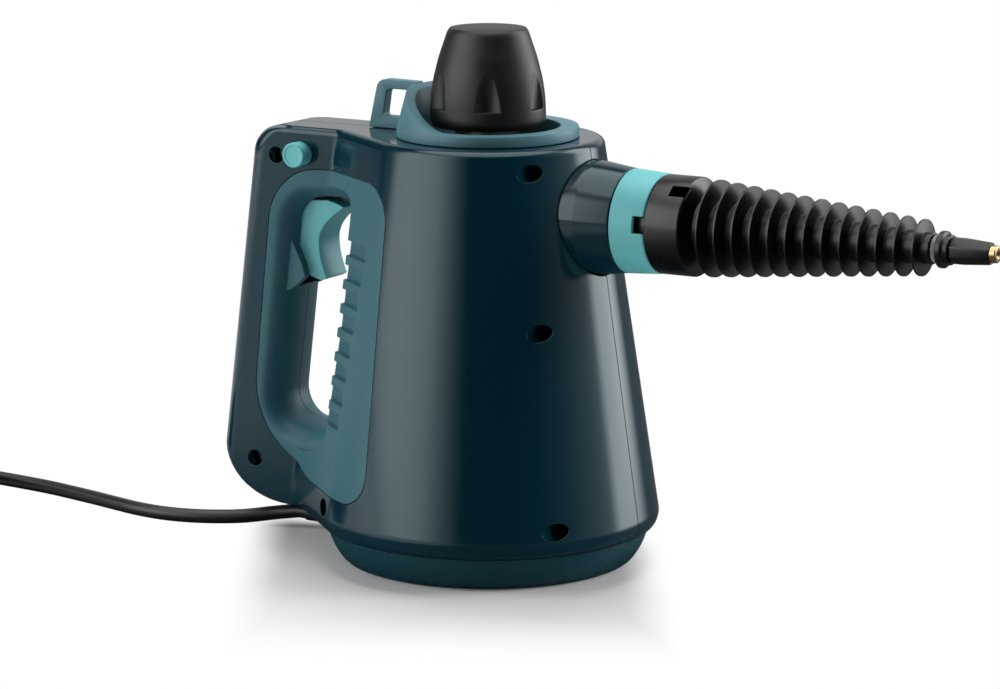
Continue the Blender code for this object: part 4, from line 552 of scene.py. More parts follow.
@dataclass(frozen=True)
class Finish:
    """A moulded or machined surface, with what all finishes share.

    The grain is a fine bump of the tool's or mould's texture, the ripple is the slow
    waviness of a real surface, and the mottle is how far colour and gloss drift.
    """

    name: str
    colour: str
    roughness: float
    ior: float = 1.5
    metallic: float = 0.0
    grain: float = 0.5 * MM
    grain_depth: float = 0.01 * MM
    ripple: float = 6.0 * MM
    ripple_depth: float = 0.004 * MM
    mottle: float = 0.06
    edge: float = 0.35 * MM
    sheen: float = 0.0
    tint: str = "#FFFFFF"

    def make(self) -> bpy.types.Material:
        """Build the material, or return it if it is there already.

        Returns:
            The material.
        """
        found = bpy.data.materials.get(self.name)
        if found is not None:
            return found
        material = bpy.data.materials.new(self.name)
        material.use_nodes = True
        tree = material.node_tree
        shader = tree.nodes["Principled BSDF"]
        shader.inputs["Metallic"].default_value = self.metallic
        if self.metallic == 0:
            shader.inputs["IOR"].default_value = self.ior
        shader.inputs["Sheen Weight"].default_value = self.sheen
        shader.inputs["Specular Tint"].default_value = linear(self.tint)
        place = add_node(tree, "ShaderNodeTexCoord").outputs["Object"]
        drift = add_node(tree, "ShaderNodeTexNoise", Vector=place, Scale=1 / self.ripple, Detail=3.0,
                         Roughness=0.55).outputs["Fac"]
        fine = add_node(tree, "ShaderNodeTexNoise", Vector=place, Scale=1 / self.grain, Detail=2.0,
                        Roughness=0.6).outputs["Fac"]
        ground = Ground(tree, shader, drift, fine)
        self.colour_nodes(ground)
        self.gloss_nodes(ground)
        self.relief_nodes(ground)
        return material

    def colour_nodes(self, ground: Ground) -> None:
        """Colour the shader, a little darker and lighter from place to place.

        Args:
            ground: The material's shader and noises.
        """
        base = linear(self.colour)
        dark = tuple(c * (1 - self.mottle) for c in base[:3]) + (1.0,)
        light = tuple(min(1.0, c * (1 + self.mottle)) for c in base[:3]) + (1.0,)
        slow = add_node(ground.tree, "ShaderNodeMath", MULTIPLY, i0=ground.drift, i1=0.7)
        shade = add_node(ground.tree, "ShaderNodeMath", {"operation": "MULTIPLY_ADD"}, i0=ground.fine,
                         i1=0.3, i2=slow.outputs[0])
        mix = add_node(ground.tree, "ShaderNodeMix", {"data_type": "RGBA"}, i0=shade.outputs[0], i6=dark,
                       i7=light)
        ground.tree.links.new(mix.outputs[2], ground.shader.inputs["Base Color"])

    def gloss_nodes(self, ground: Ground) -> None:
        """Set the shader's roughness, which drifts a little as a handled surface does.

        Args:
            ground: The material's shader and noises.
        """
        worn = add_node(ground.tree, "ShaderNodeMapRange", Value=ground.drift, From_Min=0.3, From_Max=0.7,
                        To_Min=self.roughness * 0.9, To_Max=self.roughness * 1.12)
        ground.tree.links.new(worn.outputs[0], ground.shader.inputs["Roughness"])

    def relief_nodes(self, ground: Ground) -> None:
        """Give the surface its ripple and grain, and soften its edges.

        Args:
            ground: The material's shader and noises.
        """
        soft = add_node(ground.tree, "ShaderNodeBevel", {"samples": 4}, Radius=self.edge)
        slow = add_node(ground.tree, "ShaderNodeBump", Height=ground.drift, Distance=self.ripple_depth,
                        Normal=soft.outputs[0])
        quick = add_node(ground.tree, "ShaderNodeBump", Height=ground.fine, Distance=self.grain_depth,
                         Normal=slow.outputs[0])
        ground.tree.links.new(quick.outputs[0], ground.shader.inputs["Normal"])


@dataclass(frozen=True)
class TurnedMetal(Finish):
    """Metal cut on a lathe, whose fine rings show as a bright streak across them."""

    metallic: float = 1.0
    pitch: float = 0.35 * MM
    ring_axis: str = "X"

    def relief_nodes(self, ground: Ground) -> None:
        """Cut the lathe's rings across the piece's axis.

        Args:
            ground: The material's shader and noises.
        """
        tree = ground.tree
        place = add_node(tree, "ShaderNodeTexCoord").outputs["Object"]
        rings = add_node(tree, "ShaderNodeTexWave",
                         {"wave_type": "BANDS", "bands_direction": self.ring_axis}, Vector=place,
                         Scale=1 / self.pitch / 20, Distortion=0.4, Detail=1.0)
        soft = add_node(tree, "ShaderNodeBevel", {"samples": 4}, Radius=self.edge)
        cut = add_node(tree, "ShaderNodeBump", Height=rings.outputs["Fac"], Distance=self.grain_depth,
                       Normal=soft.outputs[0])
        worn = add_node(tree, "ShaderNodeBump", Height=ground.fine, Distance=self.grain_depth / 2,
                        Normal=cut.outputs[0])
        tree.links.new(worn.outputs[0], ground.shader.inputs["Normal"])


# ABS moulded in a polished tool: a mirror-like dark skin with a faint waviness
SHELL_GLOSS = Finish("gloss_abs_deep_teal", "#062A36", 0.11, ior=1.52, grain=1.2 * MM,
                     grain_depth=0.0012 * MM, ripple=14 * MM, ripple_depth=0.010 * MM, mottle=0.05,
                     edge=0.5 * MM, tint="#E2FCFF")
# The same ABS from a tool with a fine matt texture, as on the cup below the seam
BASE_SATIN = Finish("satin_abs_deep_teal", "#134049", 0.28, tint="#E2FCFF", ior=1.52, grain=0.7 * MM,
                    grain_depth=0.006 * MM, ripple=12 * MM, ripple_depth=0.010 * MM, edge=0.4 * MM)
# ABS with a spark-eroded texture: even satin, a little lighter than the grips
COLLAR_SATIN = Finish("satin_abs_grey_blue", "#4E7781", 0.44, grain=0.6 * MM, grain_depth=0.010 * MM,
                      ripple=9 * MM, mottle=0.05, edge=0.5 * MM)
# Thermoplastic rubber over a hard core: soft, slightly dusty highlights
GRIP_SOFT = Finish("soft_touch_tpe_grey_teal", "#285A64", 0.47, ior=1.48, grain=0.55 * MM,
                   grain_depth=0.014 * MM, ripple=10 * MM, ripple_depth=0.006 * MM, edge=0.6 * MM,
                   sheen=0.06)
# Acetal controls and ring: smooth, pale and slightly waxy
ACCENT_ACETAL = Finish("acetal_turquoise", "#6ABFC3", 0.38, ior=1.48, grain=0.6 * MM,
                       grain_depth=0.006 * MM, ripple=8 * MM, mottle=0.04, edge=0.4 * MM)
# Glass-filled polypropylene: black with a dry satin skin
CAP_BLACK = Finish("satin_pp_black", "#171614", 0.42, ior=1.49, grain_depth=0.016 * MM, ripple=9 * MM,
                   mottle=0.14, edge=0.4 * MM)
# The nozzle's black is moulded smoother, so its ribs carry crisp highlights
NOZZLE_BLACK = Finish("smooth_pp_black", "#0D0C0B", 0.29, grain=0.6 * MM, grain_depth=0.008 * MM,
                      ripple=8 * MM, mottle=0.14, edge=0.25 * MM)
# PVC sheath: softer black, with the faint lengthwise drag of extrusion
CORD_PVC = Finish("extruded_pvc_black", "#151515", 0.38, ior=1.53, grain=0.6 * MM, grain_depth=0.012 * MM,
                  ripple=11 * MM, ripple_depth=0.02 * MM, mottle=0.16, edge=0.2 * MM)
# Moulded PVC of the plug and the strain relief: the same black, matt
MOULDED_PVC = Finish("moulded_pvc_black", "#181818", 0.50, ior=1.53, grain_depth=0.018 * MM,
                     ripple=7 * MM, mottle=0.16, edge=0.4 * MM)
# EPDM seal: dull black with bloom
SEAL_EPDM = Finish("epdm_black", "#171717", 0.66, grain=0.4 * MM, grain_depth=0.02 * MM, ripple=5 * MM,
                   mottle=0.2, edge=0.3 * MM)
# Silicone gasket, translucent red-brown and slightly greasy
GASKET_RED = Finish("silicone_red", "#A5452F", 0.50, ior=1.41, grain=0.4 * MM, ripple=4 * MM,
                    mottle=0.08, edge=0.2 * MM)
# Silicone washer behind the tip
WASHER_GREY = Finish("silicone_grey", "#8D8C89", 0.46, ior=1.41, grain=0.4 * MM, ripple=3 * MM,
                     mottle=0.08, edge=0.2 * MM)
# Steatite of the thermostat and the terminal block: dry and off-white
STEATITE = Finish("steatite_white", "#D6D2C6", 0.58, ior=1.6, grain=0.4 * MM, grain_depth=0.02 * MM,
                  ripple=4 * MM, mottle=0.05, edge=0.3 * MM)
# Die-cast aluminium: bright but pebbled and uneven
CAST_ALUMINIUM = Finish("die_cast_aluminium", "#B9BBBD", 0.42, metallic=1.0, grain=0.9 * MM,
                        grain_depth=0.05 * MM, ripple=7 * MM, mottle=0.1, edge=0.4 * MM)
# Zinc-plated steel: cool grey, softly mottled by the plating
PLATED_STEEL = Finish("zinc_plated_steel", "#A9A9A6", 0.34, metallic=1.0, grain_depth=0.008 * MM,
                      ripple=3 * MM, mottle=0.12, edge=0.15 * MM)
# Machined brass: warm, with fine rings from the tool
TURNED_BRASS = TurnedMetal("turned_brass", "#CBAE82", 0.26, grain_depth=0.006 * MM, ripple=4 * MM,
                           mottle=0.1, edge=0.2 * MM)
# Drawn stainless tube and rods
DRAWN_STEEL = TurnedMetal("drawn_stainless_steel", "#A6A6A2", 0.30, grain=0.4 * MM,
                          grain_depth=0.004 * MM, ripple=4 * MM, mottle=0.08, edge=0.15 * MM)
# Nickel-plated plug pins, polished by use
NICKEL = TurnedMetal("nickel_plated_brass", "#C9C5BC", 0.20, grain=0.4 * MM, grain_depth=0.002 * MM,
                     ripple=4 * MM, mottle=0.06, edge=0.3 * MM, ring_axis="Y")


# Housing

@dataclass(frozen=True)
class HousingForm:
    """The outer form of body and handle, with the outlines that are cut into it."""

    seam_z: float = SEAM_Z
    seam_radius: float = SEAM_RADIUS
    rim_z: float = 21.5 * MM
    rim_radius: float = 74.0 * MM
    top_z: float = TOP_Z
    top_radius: float = 49.5 * MM
    top_round: float = 3.0 * MM
    wall: float = SHELL_WALL
    thickness: float = 35.0 * MM
    back_low: float = 128.6 * MM
    back_high: float = 111.9 * MM
    low_height: float = 24.0 * MM
    low_depth: float = 30.6 * MM
    high_height: float = 14.1 * MM
    high_depth: float = 16.0 * MM
    edge: float = 9.0 * MM
    flare_reach: float = 15.0 * MM
    flare_blend: float = 8.0 * MM
    panel_low: float = 31.8 * MM
    panel_top: float = 165.6 * MM
    opening_top: float = 151.8 * MM
    opening_low: float = 54.0 * MM
    front_top: float = -48.5 * MM
    front_low: float = -57.0 * MM
    front_lean: float = 8.5 * MM
    notch_count: int = 8
    notch_pitch: float = 10.4 * MM
    notch_first: float = 135.9 * MM
    notch_half: float = 3.3 * MM
    arc: int = 14

    @property
    def reach(self) -> float:
        """How far cutters run to clear the widest part of the body."""
        return self.rim_radius + PAST

    def cone_radius(self, z: float) -> float:
        """Return the body's radius at a height: a rounded rim, then a straight cone.

        Args:
            z: The height.

        Returns:
            The radius.
        """
        if z < self.rim_z:
            rise = min(1.0, (self.rim_z - z) / (self.rim_z - self.seam_z))
            return self.seam_radius + (self.rim_radius - self.seam_radius) * math.sqrt(1 - rise ** 2)
        share = (z - self.rim_z) / (self.top_z - self.rim_z)
        return self.rim_radius + (self.top_radius - self.rim_radius) * share

    def back(self, z: float, inset: float) -> float:
        """Return how far the handle's back lies behind the axis at a height.

        Args:
            z: The height.
            inset: How far the form is drawn in.

        Returns:
            The distance behind the axis.
        """
        low_z, high_z = self.seam_z + self.low_height, self.top_z - self.high_height
        share = min(1.0, max(0.0, (z - low_z) / (high_z - low_z)))
        back = self.back_low + (self.back_high - self.back_low) * share - inset

        def fall(reach: float, depth: float, height: float) -> float:
            """Return how far a rounded corner falls back at a distance past its start."""
            return depth * (1 - math.sqrt(max(0.0, 1 - min(1.0, reach / height) ** 2)))

        if z < low_z:
            back -= fall(low_z - z, self.low_depth - inset, self.low_height - inset)
        if z > high_z:
            back -= fall(z - high_z, self.high_depth - inset, self.high_height - inset)
        return back

    def half_plan(self, z: float, inset: float, steps: int) -> list[Flat]:
        """Return half of the plan at a height, from the front round to the handle's back.

        Args:
            z: The height.
            inset: How far the form is drawn in.
            steps: How many steps the cone's arc has.

        Returns:
            Points of (distance behind the axis, distance from the middle plane).
        """
        outer = self.cone_radius(z)
        middle, flare = self.thickness / 2, outer + self.flare_reach
        touch = math.atan2(middle, flare) + math.acos(outer / math.hypot(flare, middle))
        radius, half = outer - inset, middle - inset
        bend = self.flare_blend + inset
        tangent = bend * math.tan((math.pi / 2 - touch) / 2)
        bend_u = (radius - half * math.sin(touch)) / math.cos(touch)
        corner, back = self.edge - inset, self.back(z, inset)
        first = math.pi - math.asin(FIT / 2 / radius)
        bends, corners = max(3, steps // 8), max(4, steps // 5)
        points = [(radius * math.cos(a), radius * math.sin(a)) for a in np.linspace(first, touch, steps + 1)]
        points += [(bend_u + tangent - bend * math.sin(t), half + bend - bend * math.cos(t))
                   for t in np.linspace(math.pi / 2 - touch, 0, bends + 1)]
        points += [(points[-1][0] + FIT, half), (back - corner - FIT, half)]
        points += [(back - corner + corner * math.sin(t), half - corner + corner * math.cos(t))
                   for t in np.linspace(0, math.pi / 2, corners + 1)]
        return points + [(back, FIT / 2)]

    def levels(self, inset: float, steps: int) -> list[tuple[float, float]]:
        """Return the heights and insets of the rings that skin the form.

        Args:
            inset: How far the form is drawn in.
            steps: How many steps each rounded corner has.

        Returns:
            Heights and insets, from the bottom up.
        """
        low, low_height = self.seam_z + inset, self.low_height - inset
        centre = self.seam_z + self.low_height
        heights = [centre - low_height * math.cos(a) for a in np.linspace(0, math.pi / 2, steps + 1)]
        heights.append(max(self.rim_z, low + FIT))
        upper = self.top_z - self.high_height
        heights += list(np.linspace(centre, upper, 2 * steps + 1)[1:-1])
        edge, top = max(self.top_round - inset, FIT), self.top_z - inset
        heights += [upper + (self.high_height - inset - edge) * math.sin(a)
                    for a in np.linspace(0, math.pi / 2, steps)]
        rounds = [(top - edge + edge * math.sin(a), inset + edge * (1 - math.cos(a)))
                  for a in np.linspace(0, math.pi / 2, steps)[1:]]
        return [(z, inset) for z in sorted(heights)] + rounds + [(top, inset + edge + FIT)]

    def half(self, name: str, side: Side, steps: int = 60) -> Piece:
        """Make the solid outer form of one half of the housing."""
        rings = [[(-u, side.value * v, z) for u, v in self.half_plan(z, inset, steps)]
                 for z, inset in self.levels(inset=0, steps=11)]
        return loft(name, rings)

    def core(self, name: str, depth: float, steps: int = 24) -> Piece:
        """Make the whole form, drawn in by a depth on every side.

        Args:
            name: The object's name.
            depth: How far the form is drawn in.
            steps: How many steps the cone's arc has.

        Returns:
            The closed form.
        """
        rings = []
        for z, inset in self.levels(inset=depth, steps=6):
            half = self.half_plan(z, inset, steps)
            rings.append([(-u, -v, z) for u, v in half] + [(-u, v, z) for u, v in reversed(half)])
        return loft(name, rings)

    def panel_corners(self) -> list[Corner]:
        """Return the corners of the grip panel's outline."""
        return [(-98.0 * MM, self.panel_top, 26.0 * MM), (-20.5 * MM, self.panel_top, 16.0 * MM),
                (-20.5 * MM, self.panel_low, 14.0 * MM), (-112.0 * MM, self.panel_low, 37.0 * MM)]

    def opening_corners(self, widening: float, backing: float) -> list[Corner]:
        """Return the hand opening's corners.

        Args:
            widening: How far the bell mouth has opened, from 0 in the middle to 1.
            backing: How far the front side is moved towards the body.

        Returns:
            The corners of the outline.
        """
        left, low, top = 9.8 * MM * widening, 12.0 * MM * widening, 7.2 * MM * widening
        return [(-86.2 * MM - left, self.opening_top + top, 12.0 * MM + top),
                (self.front_top + backing, self.opening_top + top, 8.0 * MM),
                (self.front_low + backing, self.opening_low, 3.0 * MM),
                (-80.0 * MM, self.opening_low - 3.0 * MM - low, 10.0 * MM + top),
                (-98.5 * MM - left, self.opening_low - low / 2, 12.0 * MM + top)]

    def opening(self, name: str, margin: float = 0, backing: float = 0, turns: int = 25) -> Piece:
        """Make the hand opening's space, with bell mouths on both sides.

        Args:
            name: The object's name.
            margin: How far the space is grown.
            backing: How far its front side is moved towards the body.
            turns: How many stations lie between the two mouths.

        Returns:
            The space, outside the body's cone.
        """
        half = self.thickness / 2
        stations = [(-self.reach, 1.0)]
        stations += [(half * math.sin(a), 1 - math.cos(a))
                     for a in np.linspace(-math.pi / 2, math.pi / 2, turns)]
        stations.append((self.reach, 1.0))
        rings = []
        for y, widening in stations:
            outline = rounded(grown(self.opening_corners(widening, backing), margin), 10)
            rings.append([(x, y, z) for x, z in outline])
        shift = 1.0 * MM - margin
        low, high = self.panel_low - PAST, self.panel_top + PAST
        profile = [(0, low), (self.cone_radius(low) + shift, low),
                   (self.cone_radius(high) + shift, high), (0, high)]
        return combine(loft(name, rings), turned(name + "_body", profile, 128))

    def notches(self) -> list[list[Flat]]:
        """Return the outlines of the notches along the opening's front side.

        Returns:
            One outline for each notch, from the top down.
        """
        outlines = []
        for k in range(self.notch_count):
            z = self.notch_first - k * self.notch_pitch
            share = (self.opening_top - z) / (self.opening_top - self.opening_low)
            edge = self.front_top - self.front_lean * share
            length = (16.5 - 4.0 * k / (self.notch_count - 1)) * MM
            low, high = z - self.notch_half, z + self.notch_half
            outlines.append([(edge - PAST, low), (edge + length, low), (edge + length, high),
                             (edge - PAST, high)])
        return outlines


SCREW_PLACES: tuple[Flat, ...] = (
    (38.9 * MM, 174.5 * MM), (47.0 * MM, 108.6 * MM), (58.2 * MM, 26.2 * MM),
    (-96.5 * MM, 170.5 * MM), (-109.3 * MM, 34.2 * MM), (-51.4 * MM, 25.6 * MM))


@dataclass
class Housing:
    """The two shells, which meet in the middle plane and are screwed together."""

    form: HousingForm
    well_radius: float = 3.65 * MM
    shank_radius: float = 1.45 * MM
    seat_depth: float = 9.0 * MM
    boss_wall: float = 2.0 * MM
    far_depth: float = 8.3 * MM
    mouth_radius: float = 33.2 * MM

    def shell(self, name: str, side: Side) -> Piece:
        """Make one hollow shell with its bosses, wells and openings.

        Args:
            name: The piece's name.
            side: The side of the middle plane that it lies on.

        Returns:
            The shell.
        """
        form, reach, out = self.form, self.form.reach, side.value * self.form.reach
        bosses = [rod(f"boss_{k}", self.well_radius + self.boss_wall, -reach, reach, 32, Axis.Y, (x, 0, z))
                  for k, (x, z) in enumerate(SCREW_PLACES)]
        cavity = combine(form.core("cavity", form.wall), *bosses)
        shell = combine(form.half(name, side), cavity)
        floor = rod("floor", form.seam_radius - form.wall, form.seam_z - PAST,
                    form.seam_z + 2 * form.wall, 96)
        bay = prism("bay", [rounded(grown(form.panel_corners(), FIT), form.arc)],
                    *sorted((out, 0.0)))
        mouth = rod("mouth", self.mouth_radius + FIT, form.top_z - PAST - form.wall, form.top_z + PAST, 128)
        spout = rod("spout", SLEEVE_RADIUS + FIT, SLEEVE_ROOT - PAST, SLEEVE_FRONT, 128, Axis.X,
                    (0, 0, SPOUT_Z))
        x, z = BUTTON_PLACE
        button = rod("button", BUTTON_RADIUS + FIT, *sorted((out, 0.0)), 64, Axis.Y, (x, 0, z))
        combine(shell, floor, bay, mouth, spout, button)
        return combine(shell, *self.wells(side))

    def wells(self, side: Side) -> list[Piece]:
        """Make the cutters of the screw wells on one side.

        Args:
            side: The side of the middle plane that they lie on.

        Returns:
            One cutter for each screw.
        """
        reach, bore = self.form.reach, self.shank_radius + FIT
        if side is Side.NEAR:
            profile = [(0, -reach), (self.well_radius, -reach), (self.well_radius, -self.seat_depth),
                       (bore, -self.seat_depth), (bore, PAST), (0, PAST)]
        else:
            profile = [(0, -PAST), (bore, -PAST), (bore, self.far_depth), (0, self.far_depth)]
        return [turned(f"well_{k}", profile, 40, Axis.Y, (x, 0, z)) for k, (x, z) in enumerate(SCREW_PLACES)]

    def build(self) -> None:
        """Build and dress both shells."""
        for name, side, node in (("housing_near_shell", Side.NEAR, "right_shell"),
                                 ("housing_far_shell", Side.FAR, "left_shell")):
            dress(self.shell(name, side), SHELL_GLOSS, "housing", [node])


@dataclass
class Screws:
    """The six housing screws, one form set on six places by geometry nodes."""

    head_radius: float = 2.8 * MM
    head_height: float = 2.2 * MM
    shank_radius: float = 1.45 * MM
    length: float = 17.0 * MM
    seat: float = 9.3 * MM
    recess_depth: float = 1.1 * MM
    recess_half: float = 1.5 * MM
    slot_half: float = 0.32 * MM
    seed: int = 4

    def form(self) -> Piece:
        """Make one screw with a cross recess in its rounded head.

        Returns:
            The screw, at the origin.
        """
        head, height, shank = self.head_radius, self.head_height, self.shank_radius
        profile = fillet([(0, -height, 0), (head, -height, 1.1 * MM), (head, 0, 0.2 * MM), (shank, 0, 0),
                          (shank, self.length - 2 * shank, 0), (0, self.length, 0)])
        screw = turned("screw_form", profile, 32, Axis.Y)
        half, narrow, floor = self.recess_half, self.slot_half, self.recess_depth - height
        slots = [box("slot_a", (-half, -2 * height, -narrow), (half, floor, narrow)),
                 box("slot_b", (-narrow, -2 * height, -half), (narrow, floor, half))]
        return combine(screw, *slots)

    def tree(self) -> Tree:
        """Build the node tree that sets the form on every vertex, each turned its own way.

        Returns:
            The node tree, with its form, seed and material as inputs.
        """
        tree = bpy.data.node_groups.new("screws_on_points", "GeometryNodeTree")
        for name, kind in (("Places", "NodeSocketGeometry"), ("Form", "NodeSocketObject"),
                           ("Seed", "NodeSocketInt"), ("Material", "NodeSocketMaterial")):
            tree.interface.new_socket(name, in_out="INPUT", socket_type=kind)
        tree.interface.new_socket("Screws", in_out="OUTPUT", socket_type="NodeSocketGeometry")
        given = add_node(tree, "NodeGroupInput").outputs
        points = add_node(tree, "GeometryNodeMeshToPoints", Mesh=given["Places"])
        form = add_node(tree, "GeometryNodeObjectInfo", Object=given["Form"])
        index = add_node(tree, "GeometryNodeInputIndex")
        turn = add_node(tree, "FunctionNodeRandomValue", FLOAT, i2=0.0, i3=math.tau,
                        ID=index.outputs[0], Seed=given["Seed"])
        spin = add_node(tree, "ShaderNodeCombineXYZ", Y=turn.outputs[1])
        copies = add_node(tree, "GeometryNodeInstanceOnPoints", Points=points.outputs[0],
                          Instance=form.outputs["Geometry"], Rotation=spin.outputs[0])
        real = add_node(tree, "GeometryNodeRealizeInstances", Geometry=copies.outputs[0])
        painted = add_node(tree, "GeometryNodeSetMaterial", Geometry=real.outputs[0],
                           Material=given["Material"])
        add_node(tree, "NodeGroupOutput", Screws=painted.outputs[0])
        return tree

    def build(self) -> None:
        """Build and dress the screws."""
        bm = bmesh.new()
        for x, z in SCREW_PLACES:
            bm.verts.new((x, -self.seat, z))
        screws, form = settled("housing_screws", bm), self.form()
        grow(screws, self.tree(), {"Form": form, "Seed": self.seed, "Material": PLATED_STEEL.make()})
        bpy.data.objects.remove(form)
        dress(screws, PLATED_STEEL, "housing",
              [f"housing_screw_{k + 1}" for k in range(len(SCREW_PLACES))])


def grow(obj: Piece, tree: Tree, values: dict[str, Any]) -> Piece:
    """Run a geometry node tree on an object and keep its result as plain mesh.

    Args:
        obj: The object whose mesh the tree starts from.
        tree: The node tree.
        values: A value for each of the tree's named inputs.

    Returns:
        The same object, baked.
    """
    modifier = obj.modifiers.new(tree.name, "NODES")
    modifier.node_group = tree
    for item in tree.interface.items_tree:
        if item.item_type == "SOCKET" and item.in_out == "INPUT" and item.name in values:
            modifier[item.identifier] = values[item.name]
    return bake(obj)


@dataclass
class GripPanels:
    """The two grip panels with their notches, which line the hand opening."""

    form: HousingForm
    wall: float = 4.2 * MM
    lining: float = 3.0 * MM
    notch_depth: float = 2.4 * MM
    backing: float = 16.5 * MM
    pivot: Flat = TRIGGER_PIVOT
    boss_length: float = 3.5 * MM
    window_low: Point = (-99.0 * MM - PAST, -9.0 * MM, 111.5 * MM)
    window_high: Point = (-80.6 * MM, 9.0 * MM, 159.0 * MM)
    web_from: float = 9.2 * MM
    web_to: float = 13.0 * MM
    web: tuple[Flat, ...] = tuple((x * MM, z * MM) for x, z in (
        (-98.0, 133.0), (-91.6, 132.5), (-88.8, 127.1), (-86.4, 122.1), (-84.9, 117.1), (-88.5, 113.8),
        (-92.9, 110.4), (-98.0, 109.0)))

    def panel(self, name: str, side: Side) -> Piece:
        """Make one panel: plate, lining, pin boss, notches and trigger window.

        Args:
            name: The piece's name.
            side: The side of the middle plane that it lies on.

        Returns:
            The panel.
        """
        form, reach, sign = self.form, self.form.reach, side.value
        across = sorted((sign * reach, 0.0))
        panel = prism(name, [rounded(form.panel_corners(), form.arc)], *across)
        combine(panel, form.core("inside", self.wall))
        lining = form.opening("lining", self.lining, self.backing)
        within = prism("within", [rounded(grown(form.panel_corners(), -FIT), form.arc)], -reach, reach)
        combine(lining, within, how=Cut.KEEP)
        inner, (x, z) = form.thickness / 2 - self.wall, self.pivot
        along = sorted((sign * (inner + FIT), sign * (inner - self.boss_length)))
        boss = rod("pin_boss", HUB_RADIUS, *along, 32, Axis.Y, (x, 0, z))
        combine(panel, lining, boss, how=Cut.JOIN)
        combine(panel, form.half("outside", side), how=Cut.KEEP)
        window = box("window", self.window_low, self.window_high)
        along = sorted((sign * (inner - self.boss_length - PAST), sign * inner))
        bore = rod("bore", PIN_BORE, *along, 32, Axis.Y, (x, 0, z))
        combine(panel, form.opening("space"), window, bore)
        web = prism("web", [self.web], *sorted((sign * self.web_from, sign * self.web_to)))
        combine(panel, web, how=Cut.JOIN)
        notches = prism("notches", form.notches(), *across)
        combine(notches, form.core("notch_floor", self.notch_depth, 40))
        return combine(panel, notches)

    def build(self) -> None:
        """Build and dress both panels."""
        for name, side, node in (("grip_panel_near", Side.NEAR, "right_grip_panel"),
                                 ("grip_panel_far", Side.FAR, "left_grip_panel")):
            dress(self.panel(name, side), GRIP_SOFT, "housing", [node])


@dataclass
class TriggerGroup:
    """The trigger, hollowed for the finger, and the lock button above it."""

    pivot: Flat = TRIGGER_PIVOT
    width: float = 17.0 * MM
    arm_width: float = 8.0 * MM
    arm_half: float = 2.5 * MM
    arm_rise: float = 11.9 * MM
    tip: Flat = (-67.6 * MM, 148.2 * MM)
    toe: Flat = (-76.8 * MM, 116.5 * MM)
    hollow_x: float = -80.6 * MM
    back_x: float = -99.0 * MM
    heel: float = 7.0 * MM
    lip: float = 2.8 * MM
    rounding: float = 0.8 * MM
    button_far: float = 17.5 * MM
    button_proud: float = 6.5 * MM
    waist_half: float = 11.0 * MM
    waist_radius: float = 4.0 * MM

    def outline(self) -> list[Flat]:
        """Return the finger piece's outline, hollowed from its tip down to its toe.

        Returns:
            The outline's points, from the tip round to the shoulder.
        """
        (tip_x, tip_z), (toe_x, toe_z), steps = self.tip, self.toe, 32
        points = []
        for k in range(steps + 1):
            share = k / steps
            z = tip_z + (toe_z - tip_z) * (1 - math.cos(math.pi * share)) / 2
            reach = tip_x if share < 0.5 else toe_x
            points.append((self.hollow_x + (reach - self.hollow_x) * math.cos(math.pi * share) ** 2, z))
        shoulder = self.pivot[1] - self.arm_half
        points.append((toe_x - self.lip, toe_z - self.lip / 2))
        for k in range(9):
            turn = math.pi / 2 * k / 8
            points.append((self.back_x + self.heel * (1 - math.sin(turn)),
                           toe_z + self.lip + (self.heel - self.lip) * (1 - math.cos(turn))))
        return points + [(self.back_x, shoulder), (tip_x - 3 * self.lip, shoulder + self.lip / 2),
                         (tip_x - self.lip, shoulder)]

    def trigger(self) -> Piece:
        """Make the trigger: finger piece, arm, hub and bore.

        Returns:
            The trigger.
        """
        x, z = self.pivot
        half, arm = self.width / 2, self.arm_width / 2
        trigger = round_edges(prism("trigger_lever", [self.outline()], -half, half), self.rounding, 3, 50)
        lever = box("arm", (x - self.arm_half, -arm, z - self.arm_half - PAST),
                    (x + self.arm_half, arm, z + self.arm_rise))
        hub = rod("hub", HUB_RADIUS, -arm, arm, 40, Axis.Y, (x, 0, z))
        combine(trigger, lever, hub, how=Cut.JOIN)
        return combine(trigger, rod("bore", PIN_BORE, -half - PAST, half + PAST, 40, Axis.Y, (x, 0, z)))

    def lock_button(self) -> Piece:
        """Make the lock button: a round bolt with a waist and a slightly hollow near end.

        Returns:
            The button.
        """
        x, z = BUTTON_PLACE
        radius, waist, slim = BUTTON_RADIUS, self.waist_half, self.waist_radius
        near, far = -self.button_far - self.button_proud, self.button_far
        profile = fillet([(0, near + 0.4 * MM, 0), (radius * 0.72, near + 0.3 * MM, 0.8 * MM),
                          (radius * 0.8, near, 0.3 * MM), (radius, near, 0.7 * MM), (radius, -waist, 0),
                          (slim, -waist, 0.3 * MM), (slim, waist, 0.3 * MM), (radius, waist, 0),
                          (radius, far, 0.5 * MM), (0, far, 0)])
        return turned("trigger_lock_button", profile, 96, Axis.Y, (x, 0, z))

    def build(self) -> None:
        """Build and dress the trigger and the button."""
        dress(self.trigger(), ACCENT_ACETAL, "trigger", ["trigger"])
        dress(self.lock_button(), ACCENT_ACETAL, "lock_bolt", ["lock_button"])


# Base, collar and cap

